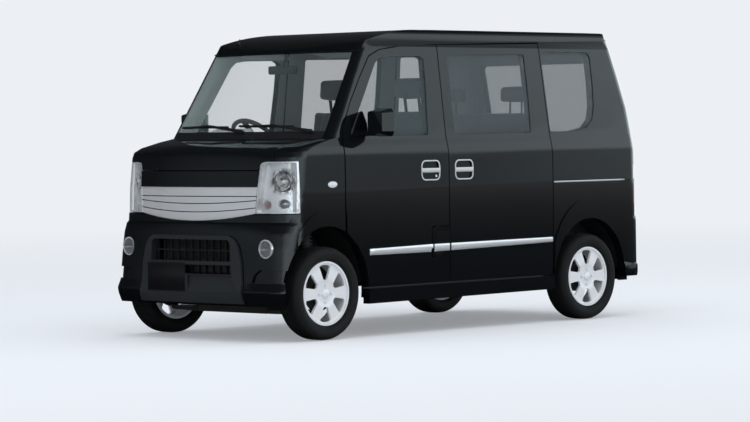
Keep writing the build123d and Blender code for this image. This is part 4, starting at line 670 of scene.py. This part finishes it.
for x in (-0.170, 0.170):
    seat = hood.ray_cast(Vector((x, -1.325, 2)), Vector((0, 0, -1)))[0]
    lathe(mesh, ((-0.004, 0.0), (-0.004, 0.012), (0.001, 0.012), (0.006, 0.009), (0.010, 0.004), (0.010, 0.0)),
          seat, (0, -0.35, 1), 20)
made = piece("washer_jets", closed(mesh), "bonnet", "black_trim", black_plastic)
made.data.set_sharp_from_angle(angle=radians(50))
roof = surface_of("roof_panel")
seat = roof.ray_cast(Vector((-0.490, -0.800, 3)), Vector((0, 0, -1)))[0]
mesh = bmesh.new()
lathe(mesh, ((-0.004, 0.0), (-0.004, 0.016), (0.003, 0.016), (0.007, 0.010), (0.012, 0.0055), (0.016, 0.0045),
             (0.034, 0.0035), (0.036, 0.0)), seat, (0, 0.4, 1), 24)
made = piece("roof_aerial", closed(mesh), "body", "black_trim", black_plastic)
made.data.set_sharp_from_angle(angle=radians(50))

# ---- Wipers ----
# Pressed black arms on spindles in the cowl, each with a slim blade and a rubber lip on the glass; the tailgate has
# one of its own.
screens = surface_of("windscreen", "cowl_panel", "bonnet")
rear_screen = surface_of("tailgate_glass", "tailgate")


def on_screen(x, z, lift):
    """The point of the windscreen or cowl at x and z, lifted off it, and the way the glass faces there."""
    spot, facing, face, far = screens.ray_cast(Vector((x, -2.2, z)), Vector((0, 1, 0)))
    return spot + facing * lift, facing


mesh = bmesh.new()
for tip, knee, pivot in ((-0.600, -0.155, 0.043), (-0.010, 0.375, 0.560)):
    ends = []
    for x, z in ((tip, 1.262 if tip < -0.3 else 1.268), (knee + 0.05, 1.262)):
        spot, facing = on_screen(x, z, 0.004)
        ends.append(spot)
    middle, facing = on_screen((tip + knee) / 2, 1.264, 0.006)
    for near, far in ((ends[0], middle), (middle, ends[1])):
        bar_between(mesh, near, far, facing, 0.004, 0.010, soft=0.0008)
        bar_between(mesh, near + facing * 0.007, far + facing * 0.007, facing, 0.009, 0.005, soft=0.001)
    root, root_facing = on_screen(pivot, 1.232, 0.014)
    elbow = middle.lerp(ends[1], 0.35) + facing * 0.017
    bar_between(mesh, root, elbow, facing, 0.018, 0.006, 0.6, 0.0015)
    bar_between(mesh, elbow, middle + facing * 0.012, facing, 0.010, 0.005, 0.7, 0.0015)
    lathe(mesh, ((-0.020, 0.0), (-0.020, 0.012), (0.004, 0.012), (0.007, 0.009), (0.007, 0.0)), root,
          root_facing, 20)
made = piece("front_wipers", closed(mesh), "body", "black_trim", black_plastic)
made.data.set_sharp_from_angle(angle=radians(40))

mesh = bmesh.new()


def on_rear(x, z, lift):
    """A spot lifted off the rear screen, and which way the screen faces there."""
    spot, facing = rear_screen.ray_cast(Vector((x, 2.4, z)), Vector((0, -1, 0)))[:2]
    return spot + facing * lift, facing


root, facing = on_rear(0.0, 1.185, 0.010)
tip = on_rear(-0.400, 1.262, 0.004)[0]
start = on_rear(-0.060, 1.250, 0.004)[0]
bar_between(mesh, tip, start, facing, 0.004, 0.008)
bar_between(mesh, tip + facing * 0.006, start + facing * 0.006, facing, 0.009, 0.005)
bar_between(mesh, root, tip.lerp(start, 0.5) + facing * 0.012, facing, 0.018, 0.006, 0.6, 0.0015)
lathe(mesh, ((-0.012, 0.0), (-0.012, 0.016), (0.006, 0.016), (0.009, 0.012), (0.009, 0.0)), root, facing, 24)
made = piece("rear_wiper", closed(mesh), "tailgate", "black_trim", black_plastic)
made.data.set_sharp_from_angle(angle=radians(40))

# ---- Tail lamps and the tailgate's fittings ----
# Moulded lamps in three bands, red with a clear one for the turn signal; a plated strip and a bare plate on the
# tailgate, a stop lamp at the top of the glass and reflectors in the bumper.
tail_red, place, shader, relief = finish(
    "tail_red", (0.22, 0.003, 0.005), 0.10, drift=0.12, patch=25.0, grain=420.0, depth=0.4, Coat_Weight=0.9)
ribs = axes(place)[0].math("SINE", axes(place)[0] * 900)
feed(shader, "Normal", place.node("Bump", {"Strength": 0.5, "Distance": 0.001, "Height": ribs, "Normal": relief}))
lamps_mesh = merged("tail_lamps")
for face in lamps_mesh.faces:
    if 0.865 < face.calc_center_median().z < 0.985:
        face.material_index = 1
lamps = rounded(piece("tail_lamp_lenses", lamps_mesh, "body", "lamp_red", tail_red, "tail_lamps"), 0.0015)
lamps.data.materials.append(white_lens)
mesh = bmesh.new()
strip_y = rear_screen.ray_cast(Vector((0, 2.4, 0.921)), Vector((0, -1, 0)))[0].y
block(mesh, (-0.318, strip_y - 0.004, 0.908), (0.318, strip_y + 0.004, 0.936), 0.003, 3)
piece("tailgate_strip", closed(mesh), "tailgate", "chrome", satin_chrome)
mesh = bmesh.new()
plate_y = rear_screen.ray_cast(Vector((0, 2.4, 0.80)), Vector((0, -1, 0)))[0].y
block(mesh, (-0.165, plate_y - 0.002, 0.716), (0.165, plate_y + 0.0015, 0.881), 0.0006, 1)
for x in (-0.105, 0.105):
    lathe(mesh, ((0.0, 0.0), (0.0, 0.006), (0.004, 0.006), (0.005, 0.0)), (x, plate_y + 0.001, 0.865), (0, 1, 0), 6)
piece("rear_plate_blank", closed(mesh), "tailgate", "black_trim", bare_plate)
mesh = bmesh.new()
top, facing = on_rear(0.0, 1.690, 0.0)
block(mesh, (-0.085, top.y - 0.010, 1.678), (0.085, top.y + 0.006, 1.702), 0.003, 2)
piece("high_stop_lamp", closed(mesh), "tailgate", "lamp_red", tail_red)
rear_face = surface_of("rear_bumper")
mesh = bmesh.new()
for x in (-0.560, 0.560):
    spot = rear_face.ray_cast(Vector((x, 2.4, 0.430)), Vector((0, -1, 0)))[0]
    block(mesh, (x - 0.035, spot.y - 0.010, 0.412), (x + 0.035, spot.y + 0.0025, 0.448), 0.002, 2)
piece("rear_reflectors", closed(mesh), "body", "lamp_red", tail_red)

# ---- Wheels and tyres ----
# Cast alloy wheels painted silver, with four plain nuts, a valve and a snap-in cap, in radial tyres with six grooves
# round the tread and raised rings on the sidewall.
wheel_silver, place, shader, relief = finish(
    "wheel_silver", (0.86, 0.87, 0.88), 0.32, 0.15, drift=0.04, grain=2600.0, depth=0.05, Coat_Weight=0.6,
    Coat_Roughness=0.06)
dull_iron, place, shader, relief = finish(
    "brake_iron", (0.055, 0.053, 0.050), 0.5, 0.6, drift=0.25, patch=20.0, grain=1400.0, depth=0.35)
tyre_rubber, place, shader, relief = finish(
    "tyre_rubber", (0.0065, 0.0068, 0.0072), 0.75, drift=0.22, patch=11.0, grain=2600.0, depth=0.40)
tyre_half = ((0.052, 0.1806), (0.058, 0.1925), (0.066, 0.197), (0.070, 0.2005), (0.0745, 0.2065), (0.0765, 0.2075),
             (0.0795, 0.222), (0.0815, 0.229), (0.0812, 0.231), (0.0823, 0.236), (0.080, 0.250), (0.0775, 0.2545),
             (0.0765, 0.2545), (0.075, 0.260), (0.068, 0.268), (0.058, 0.2725), (0.055, 0.2738), (0.0535, 0.2688),
             (0.0505, 0.2690), (0.049, 0.2748), (0.036, 0.2763), (0.035, 0.2690), (0.029, 0.2692), (0.028, 0.2768),
             (0.015, 0.2770), (0.014, 0.2692), (0.008, 0.2692), (0.007, 0.2770), (0.0, 0.2770))
hub_height, nut_circle_radius, valve_radius = 0.277, 0.050, 0.1695
front_axle, rear_axle = (0.655, -1.2575), (0.645, 1.1425)
for end, hand, side, (x, y) in (("front", "left", 1, front_axle), ("front", "right", -1, front_axle),
                                ("rear", "left", 1, rear_axle), ("rear", "right", -1, rear_axle)):
    corner = end + "_" + hand
    hub = Vector((side * x, y, hub_height))
    rim_mesh = merged("rim_" + corner)
    for face in rim_mesh.faces:
        spot = face.calc_center_median() - hub
        if side * spot.x < 0.020 and sqrt(spot.y ** 2 + spot.z ** 2) < 0.120:
            face.material_index = 1
    wheel = piece("alloy_" + corner, rim_mesh, "wheel_" + corner, "aluminium", wheel_silver, "rim_" + corner)
    wheel.data.materials.append(dull_iron)
    rounded(wheel, 0.0025, 38, 2)
    mesh = bmesh.new()
    face_x = 0.050
    lathe(mesh, ((face_x + 0.002, 0.0275), (face_x + 0.007, 0.0270), (face_x + 0.0095, 0.0235),
                 (face_x + 0.0105, 0.012), (face_x + 0.0108, 0.0)), hub, (side, 0, 0), 40)
    for turn in range(4):
        spin = Matrix.Rotation(turn * pi / 2, 3, "X")
        bolt = hub + spin @ Vector((0, 0, nut_circle_radius))
        lathe(mesh, ((face_x - 0.002, 0.0095), (face_x + 0.012, 0.0095), (face_x + 0.015, 0.0065),
                     (face_x + 0.0155, 0.0)), bolt, (side, 0, 0), 12)
    valve = hub + Matrix.Rotation(radians(38), 3, "X") @ Vector((0, 0, valve_radius))
    lathe(mesh, ((0.030, 0.0045), (0.050, 0.0035), (0.056, 0.0035), (0.056, 0.0)), valve, (side, 0, 0), 12)
    ends = [edge for edge in mesh.edges if edge.is_boundary]
    bmesh.ops.holes_fill(mesh, edges=ends, sides=0)
    cap = piece("nuts_and_cap_" + corner, closed(mesh), "wheel_" + corner, "aluminium", wheel_silver)
    cap.data.set_sharp_from_angle(angle=radians(35))
    mesh = bmesh.new()
    profile = [(off, radius) for off, radius in tyre_half] + [(-off, radius) for off, radius in tyre_half[-2::-1]]
    lathe(mesh, profile + [profile[0]], hub, (side, 0, 0), 96)
    tyre = piece("radial_" + corner, closed(mesh), "wheel_" + corner, "tyre", tyre_rubber, "tyre_" + corner)
    tyre.data.set_sharp_from_angle(angle=radians(38))

# ---- Cabin ----
# Moulded dashboard with a cowl over its dials, vents and a radio place left plain; a black rim and spokes on the
# steering wheel; sun visors and a mirror.
cabin_grey, place, shader, relief = finish(
    "cabin_grey", (0.34, 0.38, 0.38), 0.62, drift=0.06, grain=1700.0, depth=0.45)
wheel_black, place, shader, relief = finish(
    "wheel_black", (0.030, 0.032, 0.034), 0.5, drift=0.12, patch=16.0, grain=1900.0, depth=0.5)
vent_dark, place, shader, relief = finish("vent_dark", (0.020, 0.021, 0.022), 0.6, drift=0.12, grain=1500.0)
rounded(piece("dashboard_moulding", merged("dashboard"), "body", "cabin_plastic", cabin_grey, "dashboard"),
        0.012, 28, 3)
rounded(piece("steering_rim", merged("steering_wheel"), "steering_wheel", "cabin_plastic", wheel_black,
              "steering_wheel"), 0.004, 40, 2)
rounded(piece("column_shroud", merged("steering_column"), "body", "cabin_plastic", wheel_black,
              "steering_column"), 0.002)
mesh = bmesh.new()
cowl = bmesh.ops.create_cube(mesh, size=1.0)["verts"]
for vert in cowl:
    back, rise = vert.co.y > 0, vert.co.z > 0
    vert.co = (-0.330 + vert.co.x * (0.32 if rise else 0.38), (-0.985 if back else -1.120), 0.0)
    vert.co.z = (1.262 if back else 1.228) if rise else 1.196
bmesh.ops.bevel(mesh, geom=mesh.edges[:], offset=0.016, offset_type="OFFSET", segments=3, profile=0.5,
                affect="EDGES", material=-1)
piece("dial_cowl", closed(mesh), "body", "cabin_plastic", cabin_grey)
mesh = bmesh.new()
dash_face = surface_of("dashboard")


def on_dash(x, z):
    """The dashboard's face towards the seats at x and z."""
    return dash_face.ray_cast(Vector((x, -0.5, z)), Vector((0, -1, 0)))[0]


for x, wide, z, tall in ((0.0, 0.085, 1.140, 0.028), (0.500, 0.055, 1.140, 0.030), (-0.560, 0.040, 1.140, 0.030),
                         (0.0, 0.090, 1.050, 0.040), (0.0, 0.090, 0.985, 0.016)):
    seat = on_dash(x, z)
    block(mesh, (x - wide, seat.y - 0.02, z - tall), (x + wide, seat.y + 0.003, z + tall), 0.003, 2)
piece("vents_and_panel", closed(mesh), "body", "cabin_plastic", vent_dark)
mesh = bmesh.new()
for x in (-0.082, -0.028, 0.028, 0.082, 0.460, 0.500, 0.540, -0.585, -0.545):
    seat = on_dash(x, 1.140)
    for step in range(4):
        z = 1.122 + 0.012 * step
        block(mesh, (x - 0.016, seat.y + 0.002, z - 0.0015), (x + 0.016, seat.y + 0.006, z + 0.0015))
for x in (-0.060, 0.0, 0.060):
    seat = on_dash(x, 0.985)
    lathe(mesh, ((0.0, 0.0), (0.0, 0.013), (0.012, 0.011), (0.014, 0.009), (0.014, 0.0)), seat, (0, 1, 0), 20)
made = piece("vent_slats_and_knobs", closed(mesh), "body", "cabin_plastic", wheel_black)
made.data.set_sharp_from_angle(angle=radians(40))
mesh = bmesh.new()
block(mesh, (-0.122, -0.905, 1.588), (0.122, -0.880, 1.640), 0.011, 3)
bar_between(mesh, Vector((0, -0.892, 1.625)), Vector((0, -0.850, 1.705)), Vector((0, 1, 0)), 0.016, 0.016, 0.8, 0.003)
piece("cabin_mirror", closed(mesh), "body", "cabin_plastic", wheel_black)
mesh = bmesh.new()
block(mesh, (-0.113, -0.8815, 1.594), (0.113, -0.8790, 1.634), 0.0008, 1)
piece("cabin_mirror_glass", closed(mesh), "body", "chrome", mirror_glass)
mesh = bmesh.new()
for side in (1, -1):
    visor = bmesh.ops.create_cube(mesh, size=1.0)["verts"]
    bmesh.ops.scale(mesh, vec=(0.36, 0.15, 0.016), verts=visor)
    bmesh.ops.rotate(mesh, verts=visor, matrix=Matrix.Rotation(radians(-14), 3, "X"))
    bmesh.ops.translate(mesh, verts=visor, vec=(side * 0.325, -0.735, 1.706))
    edges = {edge for vert in visor for edge in vert.link_edges}
    bmesh.ops.bevel(mesh, geom=list(edges), offset=0.006, offset_type="OFFSET", segments=3, profile=0.5,
                    affect="EDGES", material=-1)
piece("sun_visors", closed(mesh), "body", "cabin_plastic", cabin_grey)
# ---- Underside, running gear and the rest of the solids ----
# Pressed floor and rails in black underseal, cast and forged iron under the axles, aluminium, plain steel pipes and
# grained cabin plastic: the CAD solids are right as they stand, and take a finish by what they are made of.
underseal, place, shader, relief = finish(
    "underseal", (0.022, 0.022, 0.022), 0.75, drift=0.30, patch=5.0, grain=420.0, depth=0.5)
rough_iron, place, shader, relief = finish(
    "rough_iron", (0.060, 0.056, 0.053), 0.62, 0.55, drift=0.35, patch=14.0, grain=700.0, depth=0.5)
exhaust_steel, place, shader, relief = finish(
    "exhaust_steel", (0.30, 0.28, 0.26), 0.42, 0.85, drift=0.30, patch=9.0, grain=1600.0, depth=0.12)
radiator_fins, place, shader, relief = finish(
    "radiator_fins", (0.10, 0.10, 0.10), 0.5, 0.6, drift=0.2, grain=900.0, depth=0.2)
fins = axes(place)[2].math("SINE", axes(place)[2] * 2500)
feed(shader, "Normal", place.node("Bump", {"Strength": 0.8, "Distance": 0.002, "Height": fins, "Normal": relief}))
frame_grey, place, shader, relief = finish(
    "cabin_grey", (0.31, 0.34, 0.34), 0.62, drift=0.06, grain=1700.0, depth=0.45)
slot_finish = {
    "underbody": underseal, "aluminium": radiator_fins, "cast_iron": rough_iron, "steel": exhaust_steel,
    "cabin_plastic": frame_grey, "black_trim": black_plastic, "chrome": satin_chrome, "lamp_clear": lens_clear,
    "lamp_red": tail_red, "seat_fabric": frame_grey, "body_paint": black_paint, "tyre": black_plastic,
    "window_glass": lens_clear}
for entry in frame["record"]["subparts"]:
    for held in frame["nodes"][entry["node"]].material_slots:
        held.material = slot_finish[entry["material_slot"]]
